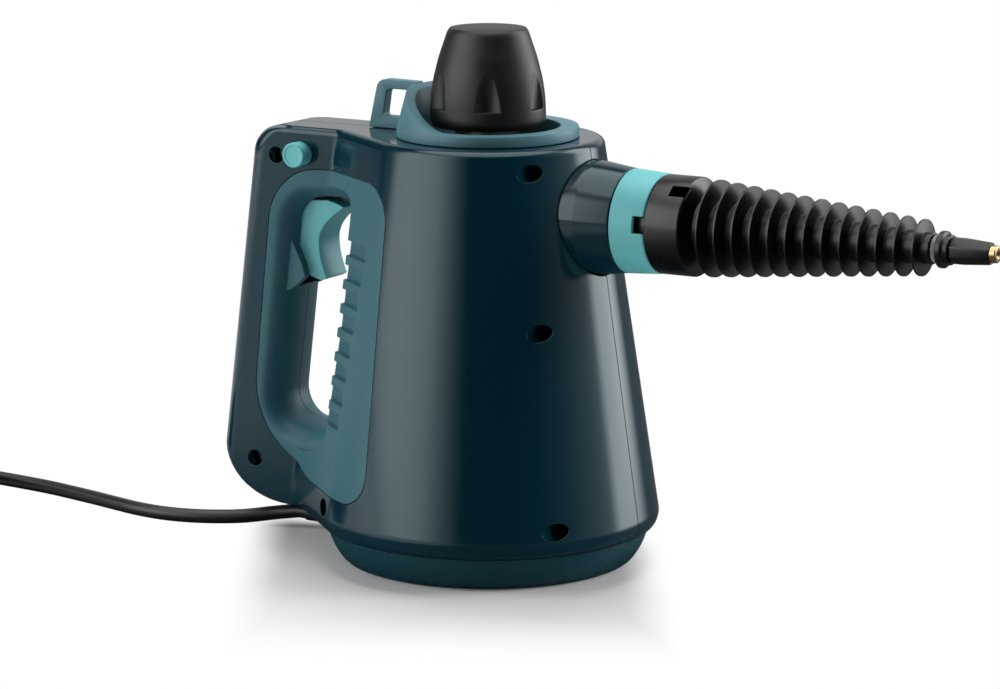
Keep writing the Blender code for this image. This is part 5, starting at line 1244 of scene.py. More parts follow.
@dataclass
class Base:
    """The base cup below the seam."""

    seam_z: float = SEAM_Z
    seam_radius: float = SEAM_RADIUS
    contact_radius: float = 60.0 * MM
    wall: float = SHELL_WALL
    lip_rise: float = 4.2 * MM
    lip_wall: float = 2.2 * MM
    seat_radius: float = 32.0 * MM
    seat_top: float = 23.7 * MM
    seat_wall: float = 3.0 * MM
    gland_radius: float = 4.35 * MM

    def side(self, inset: float) -> list[Flat]:
        """Return the cup's side from the floor up.

        Args:
            inset: How far the side is drawn in.

        Returns:
            Points of (radius, height).
        """
        top, widen = self.seam_z - FIT, self.seam_radius - FIT - self.contact_radius
        route = [(self.contact_radius - inset, 0.0, inset)]
        for out, up in ((0.26, 0.07), (0.52, 0.27), (0.80, 0.61), (1.0, 1.0)):
            route.append((self.contact_radius + widen * out - inset, 0.0, max(inset, top * up)))
        return [(r, h) for r, _, h in smooth_points(route, 1.2 * MM)]

    def build(self) -> None:
        """Build and dress the cup."""
        top, lip = self.seam_z - FIT, self.seam_radius - self.wall - FIT
        lip_top, bore = self.seam_z + self.lip_rise, self.seat_radius - self.seat_wall
        inside = self.side(self.wall)
        profile = [(0.0, 0.0)] + self.side(0.0)
        profile += [(lip, top), (lip, lip_top), (lip - self.lip_wall, lip_top)]
        profile += list(reversed(inside[1:-1])) + [(self.contact_radius - self.wall, self.wall)]
        profile += [(self.seat_radius, self.wall), (self.seat_radius, self.seat_top),
                    (bore, self.seat_top), (bore, self.wall), (0.0, self.wall)]
        cup = turned("base_cup_shell", profile, 144)
        combine(cup, rod("gland_hole", self.gland_radius, -74.0 * MM, -56.0 * MM, 40, Axis.X,
                         (0, 0, LEAD_Z)))
        dress(cup, BASE_SATIN, "housing", ["base_cup"])


@dataclass
class Collar:
    """The collar round the cap, which sweeps up at the rear and carries the eye."""

    top_z: float = TOP_Z
    depth: float = 8.0 * MM
    skirt_wall: float = 2.2 * MM
    radius: float = 39.0 * MM
    rear_radius: float = 34.5 * MM
    bore: float = 31.0 * MM
    edge_z: float = 186.8 * MM
    front_z: float = 188.4 * MM
    rear_z: float = 204.0 * MM
    sweep_start: float = -4.0 * MM
    sweep_end: float = -33.0 * MM
    sweep_power: float = 1.35
    eye_width: float = 5.5 * MM
    eye_top: float = 205.0 * MM
    hole_low: float = 189.0 * MM
    hole_top: float = 201.0 * MM

    def build(self) -> None:
        """Build and dress the collar with its eye."""
        seat, skirt = self.top_z + FIT, self.bore + self.skirt_wall
        low, reach = self.top_z - self.depth, self.radius + PAST
        profile = [(self.bore, low), (skirt, low), (skirt, seat), (self.radius, seat),
                   (self.radius, self.edge_z), (self.rear_radius, self.rear_z), (self.bore, self.rear_z)]
        collar = turned("cap_collar", profile, 144)
        rise, run = self.rear_z - self.front_z, self.sweep_start - self.sweep_end
        sweep = [(reach, self.front_z)]
        sweep += [(self.sweep_start - run * s, self.front_z + rise * s ** self.sweep_power)
                  for s in np.linspace(0, 1, 25)]
        sweep += [(self.sweep_end, self.rear_z + PAST), (reach, self.rear_z + PAST)]
        combine(collar, prism("sweep", [sweep], -reach, reach))
        combine(collar, self.eye(seat), how=Cut.JOIN)
        half = self.eye_width / 2 + PAST
        corners = [(-51.0 * MM, self.hole_low, 1.0 * MM), (-49.2 * MM, self.hole_top, 2.25 * MM),
                   (-37.2 * MM, self.hole_top, 1.0 * MM), (-39.2 * MM, self.hole_low, 1.0 * MM)]
        combine(collar, prism("eye_hole", [rounded(corners, 5)], -half, half))
        round_edges(collar, 0.6 * MM, 3, 40)
        dress(collar, COLLAR_SATIN, "housing", ["collar"])

    def eye(self, seat: float) -> Piece:
        """Make the eye's plate behind the collar, without the cap's space.

        Args:
            seat: The height at which the plate starts.

        Returns:
            The plate.
        """
        half, top = self.eye_width / 2, self.eye_top
        corners = [(-58.0 * MM, seat, FIT), (-53.2 * MM, top, 4.5 * MM), (-34.0 * MM, top - FIT, FIT),
                   (-34.0 * MM, seat, FIT)]
        plate = prism("eye_plate", [rounded(corners, 8)], -half, half)
        return combine(plate, rod("eye_bore", self.bore + FIT, self.top_z - self.depth, top + PAST, 144))


@dataclass
class Cap:
    """The fluted cap."""

    low_z: float = 188.4 * MM
    top_z: float = 230.0 * MM
    wide_radius: float = 24.7 * MM
    bore: float = 20.0 * MM
    roof_z: float = 214.0 * MM
    hub: float = 12.5 * MM
    hub_low: float = 193.7 * MM
    stem: float = 7.0 * MM
    stem_top: float = 212.3 * MM
    flutes: int = 6
    flute_axis: float = 28.6 * MM
    flute_low_radius: float = 7.2 * MM
    flute_top_radius: float = 5.8 * MM
    flute_low: float = 196.5 * MM
    flute_height: float = 22.0 * MM

    def side(self) -> list[Flat]:
        """Return the knob's side from its foot to its top, smoothly drawn.

        Returns:
            Points of (radius, height).
        """
        height = self.top_z - self.low_z
        shares = ((0.93, 0), (0.975, 0.03), (1, 0.08), (0.998, 0.17), (0.985, 0.305), (0.945, 0.47),
                  (0.90, 0.585), (0.845, 0.71), (0.755, 0.87), (0.70, 0.963), (0.655, 1))
        route = [(self.wide_radius * r, 0.0, self.low_z + height * h) for r, h in shares]
        return [(r, h) for r, _, h in smooth_points(route, 1.1 * MM)]

    def build(self) -> None:
        """Build and dress the knob."""
        profile = self.side() + [(0, self.top_z), (0, self.stem_top), (self.stem, self.stem_top),
                                 (self.stem, self.hub_low), (self.hub, self.hub_low),
                                 (self.hub, self.roof_z), (13.6 * MM, self.roof_z),
                                 (self.bore, self.low_z + (self.top_z - self.low_z) * 0.17),
                                 (self.bore, self.low_z)]
        knob = turned("cap_knob_fluted", profile, 192, phase=math.radians(0.7))
        cutters = []
        for k in range(self.flutes):
            angle = math.tau * k / self.flutes
            centre = (self.flute_axis * math.cos(angle), self.flute_axis * math.sin(angle), 0)
            top = self.flute_low + self.flute_height
            outline = [(0, self.flute_low), (self.flute_low_radius, self.flute_low),
                       (self.flute_top_radius, top), (0, top)]
            cutters.append(turned(f"flute_{k}", outline, 54, Axis.Z, centre, angle + 0.01))
        combine(knob, *cutters)
        round_edges(knob, 0.35 * MM, 2, 38)
        dress(knob, CAP_BLACK, "cap", ["cap_knob"])


# Spout and nozzle

@dataclass
class Spout:
    """The spout sleeve, and the pale bayonet ring on its neck."""

    z: float = SPOUT_Z
    inner: float = 19.1 * MM
    neck: float = 19.2 * MM
    neck_bore: float = 16.2 * MM
    neck_length: float = 8.5 * MM
    web_rear: float = 56.0 * MM
    web_front: float = 59.0 * MM
    web_bore: float = 4.3 * MM
    front_radius: float = 22.1 * MM
    ring_front: float = NOZZLE_START
    ring_lip: float = 3.0 * MM
    notch_half: float = 3.6 * MM
    notch_depth: float = 5.0 * MM

    def sleeve(self) -> Piece:
        """Make the sleeve with its inner web and its neck.

        Returns:
            The sleeve.
        """
        rear, front, end = SLEEVE_ROOT, SLEEVE_FRONT, SLEEVE_FRONT + self.neck_length
        profile = fillet([(self.inner, rear, 0), (SLEEVE_RADIUS, rear, 0),
                          (SLEEVE_RADIUS, 54.5 * MM, 2.0 * MM),
                          (self.front_radius, front, 0.5 * MM), (self.neck, front, 0.3 * MM),
                          (self.neck, end, 0.4 * MM), (self.neck_bore, end, 0.4 * MM),
                          (self.neck_bore, self.web_front, 0), (self.web_bore, self.web_front, 0),
                          (self.web_bore, self.web_rear, 0), (self.inner, self.web_rear, 0)])
        return turned("spout_root_sleeve", profile, 144, Axis.X, (0, 0, self.z))

    def ring(self) -> Piece:
        """Make the ring, with its groove for the lugs and its two entry notches.

        Returns:
            The ring.
        """
        bore, lip, rear, front = self.neck + FIT, 17.8 * MM, 70.3 * MM, self.ring_front
        profile = fillet([(bore, rear, 0), (self.front_radius, rear, 0.7 * MM),
                          (21.1 * MM, front, 0.9 * MM), (lip, front, 0.5 * MM),
                          (lip, front - self.ring_lip, 0), (bore, front - self.ring_lip, 0)])
        ring = turned("bayonet_ring_pale", profile, 144, Axis.X, (0, 0, self.z))
        for k in range(2):
            notch = box(f"notch_{k}", (front - self.notch_depth, 0, -self.notch_half),
                        (front + PAST, 30.0 * MM, self.notch_half))
            angle = math.radians(BAYONET_ENTRY) + math.pi / 2 + math.pi * k
            move(notch, Matrix.Translation((0, 0, self.z)) @ Matrix.Rotation(angle, 4, "X"))
            combine(ring, notch)
        return ring

    def build(self) -> None:
        """Build and dress the sleeve and the ring."""
        dress(self.sleeve(), SHELL_GLOSS, "housing", ["spout_sleeve"])
        dress(self.ring(), ACCENT_ACETAL, "housing", ["bayonet_ring"])


@dataclass
class Nozzle:
    """The nozzle: cuff, bayonet spigot with lugs, core, and ribs made by geometry nodes."""

    z: float = SPOUT_Z
    start: float = NOZZLE_START
    bore: float = LANCE_BORE
    cuff_radius: float = 20.9 * MM
    cuff_length: float = 18.0 * MM
    ribs: int = 13
    pitch: float = 7.75 * MM
    thickness: float = 2.0 * MM
    last_rib: float = 11.65 * MM
    core_first: float = 11.8 * MM
    core_last: float = 6.5 * MM
    tail_length: float = 3.3 * MM
    foot_share: float = 0.9
    crest_share: float = 0.42
    depth_share: float = 0.47
    wall: float = 3.0 * MM
    spigot: float = 17.5 * MM
    spigot_length: float = 6.0 * MM
    lug_half: float = 3.0 * MM
    lug_length: float = 2.6 * MM
    lug_radius: float = 18.9 * MM
    port_angle: float = 128.0

    @property
    def end(self) -> float:
        """Where the ribs end."""
        return self.start + self.cuff_length + self.ribs * self.pitch

    def core(self) -> Piece:
        """Make the hollow core with the cuff and the spigot.

        Returns:
            The core.
        """
        rear, front = self.start + FIT, self.start + self.cuff_length
        tail, root = self.end + self.tail_length, rear - self.spigot_length
        profile = fillet([(self.spigot - self.wall, root, 0), (self.spigot, root, 0.4 * MM),
                          (self.spigot, rear, 0), (self.cuff_radius, rear, 0.5 * MM),
                          (self.cuff_radius, front - self.thickness, 0.7 * MM),
                          (self.core_first, front, 0.3 * MM), (self.core_last, self.end, 0),
                          (self.core_last, tail, 0.3 * MM), (self.bore, tail, 0),
                          (self.bore, self.end - self.pitch, 0),
                          (self.core_last - self.wall + FIT, self.end - 2 * self.pitch, 0),
                          (self.core_first - self.wall, front, 0)])
        core = turned("nozzle_core", profile, 144, Axis.X, (0, 0, self.z))
        place = Matrix.Translation((0, 0, self.z))
        lug_front = self.start - 3.0 * MM - FIT
        for k in range(2):
            lug = box(f"lug_{k}", (lug_front - self.lug_length, self.spigot - self.wall / 2, -self.lug_half),
                      (lug_front, self.lug_radius, self.lug_half))
            angle = math.radians(BAYONET_ENTRY + BAYONET_TURN) + math.pi / 2 + math.pi * k
            combine(core, move(lug, place @ Matrix.Rotation(angle, 4, "X")), how=Cut.JOIN)
        port = box("port", (94.75 * MM, self.core_first - self.wall, -3.0 * MM),
                   (102.25 * MM, self.cuff_radius + PAST, 3.0 * MM))
        return combine(core, move(port, place @ Matrix.Rotation(math.radians(self.port_angle), 4, "X")))

    def tree(self) -> Tree:
        """Build the node tree that grows the ribs: one ring, repeated and shrunk by rule.

        Returns:
            The node tree, with the ribs' sizes and material as inputs.
        """
        tree = bpy.data.node_groups.new("nozzle_ribs", "GeometryNodeTree")
        tree.interface.new_socket("Seed Mesh", in_out="INPUT", socket_type="NodeSocketGeometry")
        for name, kind in (("Count", "Int"), ("Start", "Vector"), ("Step", "Vector"),
                           ("First Radius", "Float"), ("Last Radius", "Float"), ("Foot Width", "Float"),
                           ("Crest Width", "Float"), ("Depth Share", "Float"), ("Sides", "Int"),
                           ("Material", "Material")):
            tree.interface.new_socket(name, in_out="INPUT", socket_type="NodeSocket" + kind)
        tree.interface.new_socket("Ribs", in_out="OUTPUT", socket_type="NodeSocketGeometry")
        given = add_node(tree, "NodeGroupInput").outputs
        line = add_node(tree, "GeometryNodeMeshLine", Count=given["Count"], Start_Location=given["Start"],
                        Offset=given["Step"])
        rail = add_node(tree, "GeometryNodeCurvePrimitiveCircle", Resolution=given["Sides"], Radius=1.0)
        section = add_node(tree, "GeometryNodeCurvePrimitiveQuadrilateral", {"mode": "TRAPEZOID"},
                           Height=given["Depth Share"], Bottom_Width=given["Foot Width"],
                           Top_Width=given["Crest Width"], Offset=0.0)
        half = add_node(tree, "ShaderNodeMath", MULTIPLY, i0=given["Depth Share"], i1=0.5)
        sink = add_node(tree, "ShaderNodeMath", MULTIPLY, i0=half.outputs[0], i1=-1.0)
        drop = add_node(tree, "ShaderNodeCombineXYZ", Y=sink.outputs[0])
        placed = add_node(tree, "GeometryNodeTransform", Geometry=section.outputs[0],
                          Translation=drop.outputs[0], Rotation=(0.0, 0.0, 0.0))
        turned_section = add_node(tree, "GeometryNodeTransform", Geometry=placed.outputs[0],
                                  Rotation=(0.0, 0.0, -math.pi / 2))
        ring = add_node(tree, "GeometryNodeCurveToMesh", Curve=rail.outputs[0],
                        Profile_Curve=turned_section.outputs[0])
        upright = add_node(tree, "GeometryNodeTransform", Geometry=ring.outputs[0],
                           Rotation=(0.0, math.pi / 2, 0.0))
        index = add_node(tree, "GeometryNodeInputIndex")
        last = add_node(tree, "ShaderNodeMath", {"operation": "SUBTRACT"}, i0=given["Count"], i1=1.0)
        size = add_node(tree, "ShaderNodeMapRange", Value=index.outputs[0], From_Min=0.0,
                        From_Max=last.outputs[0], To_Min=given["First Radius"], To_Max=given["Last Radius"])
        scale = add_node(tree, "ShaderNodeCombineXYZ", X=1.0, Y=size.outputs[0], Z=size.outputs[0])
        copies = add_node(tree, "GeometryNodeInstanceOnPoints", Points=line.outputs[0],
                          Instance=upright.outputs[0], Scale=scale.outputs[0])
        real = add_node(tree, "GeometryNodeRealizeInstances", Geometry=copies.outputs[0])
        painted = add_node(tree, "GeometryNodeSetMaterial", Geometry=real.outputs[0],
                           Material=given["Material"])
        add_node(tree, "NodeGroupOutput", Ribs=painted.outputs[0])
        return tree

    def rib_radius(self, x: float) -> float:
        """Return the radius of the rib tops at a place along the nozzle.

        Args:
            x: The place.

        Returns:
            The radius.
        """
        first = self.start + self.cuff_length
        return self.cuff_radius + (self.last_rib - self.cuff_radius) * (x - first) / (self.end - first)

    def build(self) -> None:
        """Build and dress the nozzle."""
        first_x = self.start + self.cuff_length + self.pitch - self.thickness * 0.75
        ribs = linked("nozzle_ribs", bpy.data.meshes.new("nozzle_ribs"))
        grow(ribs, self.tree(), {
            "Count": self.ribs, "Start": (first_x, 0.0, self.z), "Step": (self.pitch, 0.0, 0.0),
            "First Radius": self.rib_radius(first_x), "Last Radius": self.rib_radius(self.end),
            "Foot Width": self.foot_share * self.thickness,
            "Crest Width": self.crest_share * self.thickness, "Depth Share": self.depth_share,
            "Sides": 128, "Material": NOZZLE_BLACK.make()})
        nozzle = join("nozzle_ribbed", [self.core(), ribs])
        dress(nozzle, NOZZLE_BLACK, "nozzle", ["nozzle_cone"])


@dataclass
class Tip:
    """The washer, flange, flat-sided sheath and brass outlet at the nozzle's end."""

    z: float = SPOUT_Z
    start: float = 208.35 * MM
    bore: float = LANCE_BORE
    washer_radius: float = 5.6 * MM
    washer_length: float = 2.4 * MM
    flange_radius: float = 7.6 * MM
    neck_radius: float = 6.2 * MM
    flange_length: float = 5.0 * MM
    sheath_radius: float = 5.6 * MM
    sheath_length: float = 16.8 * MM
    sheath_bore: float = 3.9 * MM
    brass_radius: float = 3.6 * MM
    brass_length: float = 9.0 * MM
    brass_proud: float = 2.8 * MM
    outlet: float = 0.9 * MM

    def build(self) -> None:
        """Build and dress the four pieces."""
        centre, bore = (0, 0, self.z), self.bore
        wide, front = self.washer_radius, self.start + self.washer_length
        profile = fillet([(bore, self.start, 0), (wide, self.start, 0.4 * MM), (wide, front, 0.4 * MM),
                          (bore, front, 0)])
        washer = turned("tip_washer", profile, 64, Axis.X, centre)
        dress(washer, WASHER_GREY, "nozzle", ["nozzle_washer"])
        wide, neck = self.flange_radius, self.neck_radius
        rear, front = front + FIT, front + FIT + self.flange_length
        profile = fillet([(bore, rear, 0), (wide, rear, 0.5 * MM), (wide, rear + 2.2 * MM, 0.4 * MM),
                          (neck, rear + 2.8 * MM, 0.4 * MM), (neck, front, 0.5 * MM), (bore, front, 0)])
        flange = turned("tip_flange", profile, 72, Axis.X, centre)
        dress(flange, NOZZLE_BLACK, "nozzle", ["nozzle_flange"])
        wide, hole = self.sheath_radius, self.sheath_bore
        rear, front = front + FIT, front + FIT + self.sheath_length
        seat = front + self.brass_proud - self.brass_length
        stop = seat - 0.6 * MM
        profile = [(bore, rear), (wide, rear), (wide, rear + 5.6 * MM), (4.7 * MM, front), (hole, front),
                   (hole, stop), (bore, stop)]
        sheath = turned("tip_sheath_flatted", profile, 8, Axis.X, centre, math.pi / 8)
        round_edges(sheath, 0.35 * MM, 2, 20)
        dress(sheath, NOZZLE_BLACK, "nozzle", ["tip_sheath"])
        end, radius, outlet = seat + self.brass_length, self.brass_radius, self.outlet
        profile = fillet([(outlet, seat, 0), (radius, seat, 0), (radius, end, 0.7 * MM),
                          (1.7 * MM, end, 0.2 * MM), (outlet, end - 0.8 * MM, 0)])
        brass = turned("tip_outlet", profile, 64, Axis.X, centre)
        dress(brass, TURNED_BRASS, "nozzle", ["brass_tip"])


# Mains lead

CORD_ROUTE: tuple[Point, ...] = tuple((x * MM, y * MM, z * MM) for x, y, z in (
    (-108.0, -2.4, 6.4), (-123.0, -8.8, 4.2), (-140.0, -15.0, 3.4), (-156.0, -18.2, 3.3),
    (-172.0, -17.2, 3.3), (-187.0, -13.6, 3.3), (-202.0, -9.6, 3.3), (-217.0, -6.0, 3.3),
    (-232.0, -3.0, 3.4), (-248.0, -1.4, 3.6), (-264.0, -1.0, 4.0), (-280.0, -1.0, 4.5)))


@dataclass
class Lead:
    """The mains lead: strain relief, cord with its coil and tie, and plug."""

    radius: float = 3.15 * MM
    start: Point = (-91.3 * MM, 0.0, LEAD_Z)
    coil_start: Flat = (-312.0 * MM, -1.0 * MM)
    pitch: float = 6.8 * MM
    middle: float = 37.8 * MM
    turns_a_layer: float = 3.0
    layers: int = 4
    turn_points: int = 40
    tie_thickness: float = 0.9 * MM
    tie_half: float = 5.5 * MM
    tie_round: float = 1.6 * MM
    tie_angle: float = 205.0
    strap_reach: float = 7.0 * MM
    strap_round: float = 0.2 * MM
    relief_tip: float = -91.0 * MM
    relief_lip: float = -92.8 * MM
    relief_root: float = -72.0 * MM
    relief_grooves: int = 5
    nose_grooves: int = 4
    tail_radius: float = 60.0 * MM
    plug_height: float = 17.0 * MM
    plug_half: float = 15.0 * MM
    nose_length: float = 20.0 * MM
    plug_end: float = 56.0 * MM
    pin_radius: float = 2.0 * MM
    pin_length: float = 19.0 * MM
    pin_spacing: float = 9.5 * MM

    def coil_centre(self) -> Point:
        """Return the coil's centre in plan, and the height of its lowest turns."""
        outer = self.middle + self.pitch * self.turns_a_layer / 2
        return (self.coil_start[0], self.coil_start[1] - outer, self.radius + self.tie_thickness + 2 * FIT)

    def coil_place(self, turns: float) -> Point:
        """Return a point on the coil after a number of turns from its start.

        Args:
            turns: How many turns lie behind the point.

        Returns:
            The point on the cord's centreline.
        """
        x, y, low = self.coil_centre()
        inner = self.middle - self.pitch * self.turns_a_layer / 2
        swing = (turns / self.turns_a_layer) % 2
        radius = inner + self.pitch * self.turns_a_layer * abs(swing - 1)
        layer = 0.0
        for k in range(1, self.layers):
            into = min(max((turns - k * self.turns_a_layer) * 2 + 0.5, 0.0), 1.0)
            layer += (1 - math.cos(math.pi * into)) / 2
        angle = math.pi / 2 + math.tau * turns
        return (x + radius * math.cos(angle), y + radius * math.sin(angle), low + layer * self.pitch)

    def route(self) -> list[Point]:
        """Return the whole cord's centreline, from the strain relief to the plug.

        Returns:
            The centreline's points.
        """
        total = self.turns_a_layer * self.layers
        count = round(total * self.turn_points)
        coil = [self.coil_place(total * k / count) for k in range(count + 1)]
        straight, first = 2 * self.radius, coil[0]
        sx, sy, sz = self.start
        leader = [(sx - straight, sy, sz), *CORD_ROUTE, (first[0] + 2 * straight + FIT, first[1], first[2])]
        free = [self.start] + smooth_points(leader, 5.0 * MM)
        free.append((first[0] + straight, first[1], first[2]))
        x, y, high = coil[-1]
        bend_x, floor = x - 2 * straight - FIT, self.plug_height / 2
        tail = [(x - straight, y, high)]
        for share in np.linspace(0, 1, 22):
            turn = math.pi / 2 * share
            fall = min(1.0, max(0.0, (share - 0.22) / 0.72))
            tail.append((bend_x - self.tail_radius * math.sin(turn),
                         y - self.tail_radius * (1 - math.cos(turn)),
                         high + (floor - high) * (1 - math.cos(math.pi * fall)) / 2))
        ex, ey, _ = tail[-1]
        return free + coil + tail + [(ex, ey - straight, floor)]

    def cord(self, points: list[Point]) -> tuple[Piece, float]:
        """Make the cord as one open spline.

        Args:
            points: The cord's centreline.

        Returns:
            The cord, and its length.
        """
        curve = bpy.data.curves.new("mains_cord", "CURVE")
        curve.dimensions = "3D"
        curve.bevel_depth = self.radius
        curve.bevel_resolution = 5
        curve.use_fill_caps = True
        spline = curve.splines.new("POLY")
        spline.points.add(len(points) - 1)
        for place, point in zip(spline.points, points):
            place.co = (*point, 1.0)
        spline.use_smooth = True
        length = sum((Vector(b) - Vector(a)).length for a, b in zip(points, points[1:]))
        return linked("mains_cord", curve), length

    def gland(self) -> Piece:
        """Make the tapered strain relief with its flexing grooves.

        Returns:
            The strain relief.
        """
        outer, tip, lip = self.relief_root, self.relief_tip, self.relief_lip
        profile = [(0, tip), (self.radius + FIT / 2, tip), (self.radius + FIT / 2, lip), (3.72 * MM, lip)]
        for k in range(self.relief_grooves):
            x = tip + (3.0 + 3.0 * k) * MM
            share = (x - tip) / (outer - tip)
            radius = (3.7 + 0.8 * share) * MM
            profile += [(radius, x), (radius - 0.45 * MM, x + 0.3 * MM), (radius - 0.45 * MM, x + 0.9 * MM),
                        (radius + 0.04 * MM, x + 1.2 * MM)]
        profile += [(4.5 * MM, outer), (5.0 * MM, outer), (5.0 * MM, -70.2 * MM), (4.2 * MM, -70.2 * MM),
                    (4.2 * MM, -60.0 * MM), (5.0 * MM, -60.0 * MM), (5.0 * MM, -58.2 * MM), (0, -58.2 * MM)]
        return turned("cord_strain_relief", profile, 48, Axis.X, (0, 0, LEAD_Z))

    def tie(self) -> Piece:
        """Make the strap round the coil's turns.

        Returns:
            The strap, in its place.
        """
        x, y, low = self.coil_centre()
        spread = self.pitch * self.turns_a_layer / 2 + self.radius + 2 * FIT
        bottom = low - self.radius - 2 * FIT
        top = low + self.pitch * (self.layers - 1) + self.radius + 2 * FIT
        near, far = self.middle - spread - 1.2 * MM, self.middle + spread
        half, bend = self.tie_half, self.tie_round
        corners = [(near, bottom, bend), (far, bottom, bend), (far, top, bend), (near, top, bend)]
        tie = prism("cord_tie", [rounded(grown(corners, self.tie_thickness), 6)], -half, half)
        combine(tie, prism("tie_space", [rounded(corners, 6)], -self.strap_reach, self.strap_reach))
        round_edges(tie, self.strap_round, 2, 40)
        turn = Matrix.Rotation(math.radians(self.tie_angle), 4, "Z")
        return move(tie, Matrix.Translation((x, y, 0)) @ turn)

    def plug(self, end: Point) -> tuple[Piece, list[Piece]]:
        """Make the plug's moulded body and its three pins.

        Args:
            end: Where the cord ends.

        Returns:
            The body and the pins.
        """
        nose_end, body_end = FIT + self.nose_length, FIT + self.plug_end
        wide, high, cut = self.plug_half, self.plug_height / 2, 4.0 * MM

        def section(x: float, inset: float) -> list[Point]:
            """Return one section of the body.

            Args:
                x: Its place along the plug.
                inset: How far it is drawn in.

            Returns:
                The section's points.
            """
            outline = rounded([(wide - inset, high - inset, cut), (inset - wide, high - inset, cut),
                               (inset - wide, inset - high, cut), (wide - inset, inset - high, cut)], 6)
            return [(x, a, b) for a, b in outline]

        body = loft("plug_moulding", [section(mark + shift * MM, inset * MM) for mark, shift, inset in (
            (nose_end, -4.0, 3.4), (nose_end, -2.5, 1.6), (nose_end, 1.0, 0.5), (nose_end, 4.0, 0.0),
            (nose_end, 14.0, 1.0), (nose_end, 24.0, 1.0), (body_end, -2.0, 0.0), (body_end, -0.6, 0.3),
            (body_end, 0.0, 1.2))])
        profile = [(0, FIT), (3.7 * MM, FIT)]
        for k in range(self.nose_grooves):
            x = (3.2 + 3.6 * k) * MM
            radius = (3.9 + 0.42 * k) * MM
            profile += [(radius, x), (radius - 0.5 * MM, x + 0.3 * MM), (radius - 0.5 * MM, x + 1.1 * MM),
                        (radius + 0.1 * MM, x + 1.4 * MM)]
        profile += [(6.0 * MM, nose_end), (0, nose_end)]
        combine(body, turned("plug_nose", profile, 40, Axis.X), how=Cut.JOIN)
        place = Matrix.Translation(end) @ Matrix.Rotation(math.pi * 1.5, 4, "Z")
        root, tip, radius = body_end + FIT, body_end + FIT + self.pin_length, self.pin_radius
        pin_profile = fillet([(0, root, 0), (radius, root, 0), (radius, tip, 1.2 * MM), (0, tip, 0)])
        pins = []
        for k in range(3):
            centre = (0, (k - 1) * self.pin_spacing, 0)
            pins.append(move(turned(f"plug_contact_{k + 1}", pin_profile, 32, Axis.X, centre), place))
        return move(body, place), pins

    def build(self) -> None:
        points = self.route()
        cord, length = self.cord(points)
        dress(cord, CORD_PVC, "housing", ["power_cord", "cord_coil", "plug_lead"])
        dress(self.gland(), MOULDED_PVC, "housing", ["cord_gland"])
        tie = dress(self.tie(), CAP_BLACK, "housing", ["coil_tie"])
        body, pins = self.plug(points[-1])
        dress(body, MOULDED_PVC, "housing", ["plug_body"])
        for k, pin in enumerate(pins):
            dress(pin, NICKEL, "housing", [f"plug_pin_{k + 1}"])


# Inner pieces, whose CAD forms stay as they are

INNER_FINISHES: tuple[tuple[Finish, tuple[str, ...]], ...] = (
    (CAST_ALUMINIUM, ("boiler",)),
    (TURNED_BRASS, ("boiler_neck", "steam_valve", "steam_outlet", "cap_plug")),
    (DRAWN_STEEL, ("lance_tube", "trigger_pin", "trigger_spring", "valve_stem", "push_rod", "steam_pipe",
                   "heating_element")),
    (PLATED_STEEL, ("thermal_fuse",)),
    (STEATITE, ("thermostat", "terminal_block")),
    (SEAL_EPDM, ("neck_seal",)),
    (GASKET_RED, ("cap_gasket",)),
)


def dress_inner(nodes: dict[str, Piece]) -> None:
    """Give the CAD nodes that stay their finishes, in their objects' slots.

    Args:
        nodes: The frame's nodes by name.
    """
    for finish, names in INNER_FINISHES:
        for name in names:
            for place in nodes[name].material_slots:
                place.link = "OBJECT"
                place.material = finish.make()
            LOG.info("%s keeps its form, in %s", name, finish.name)


# Studio

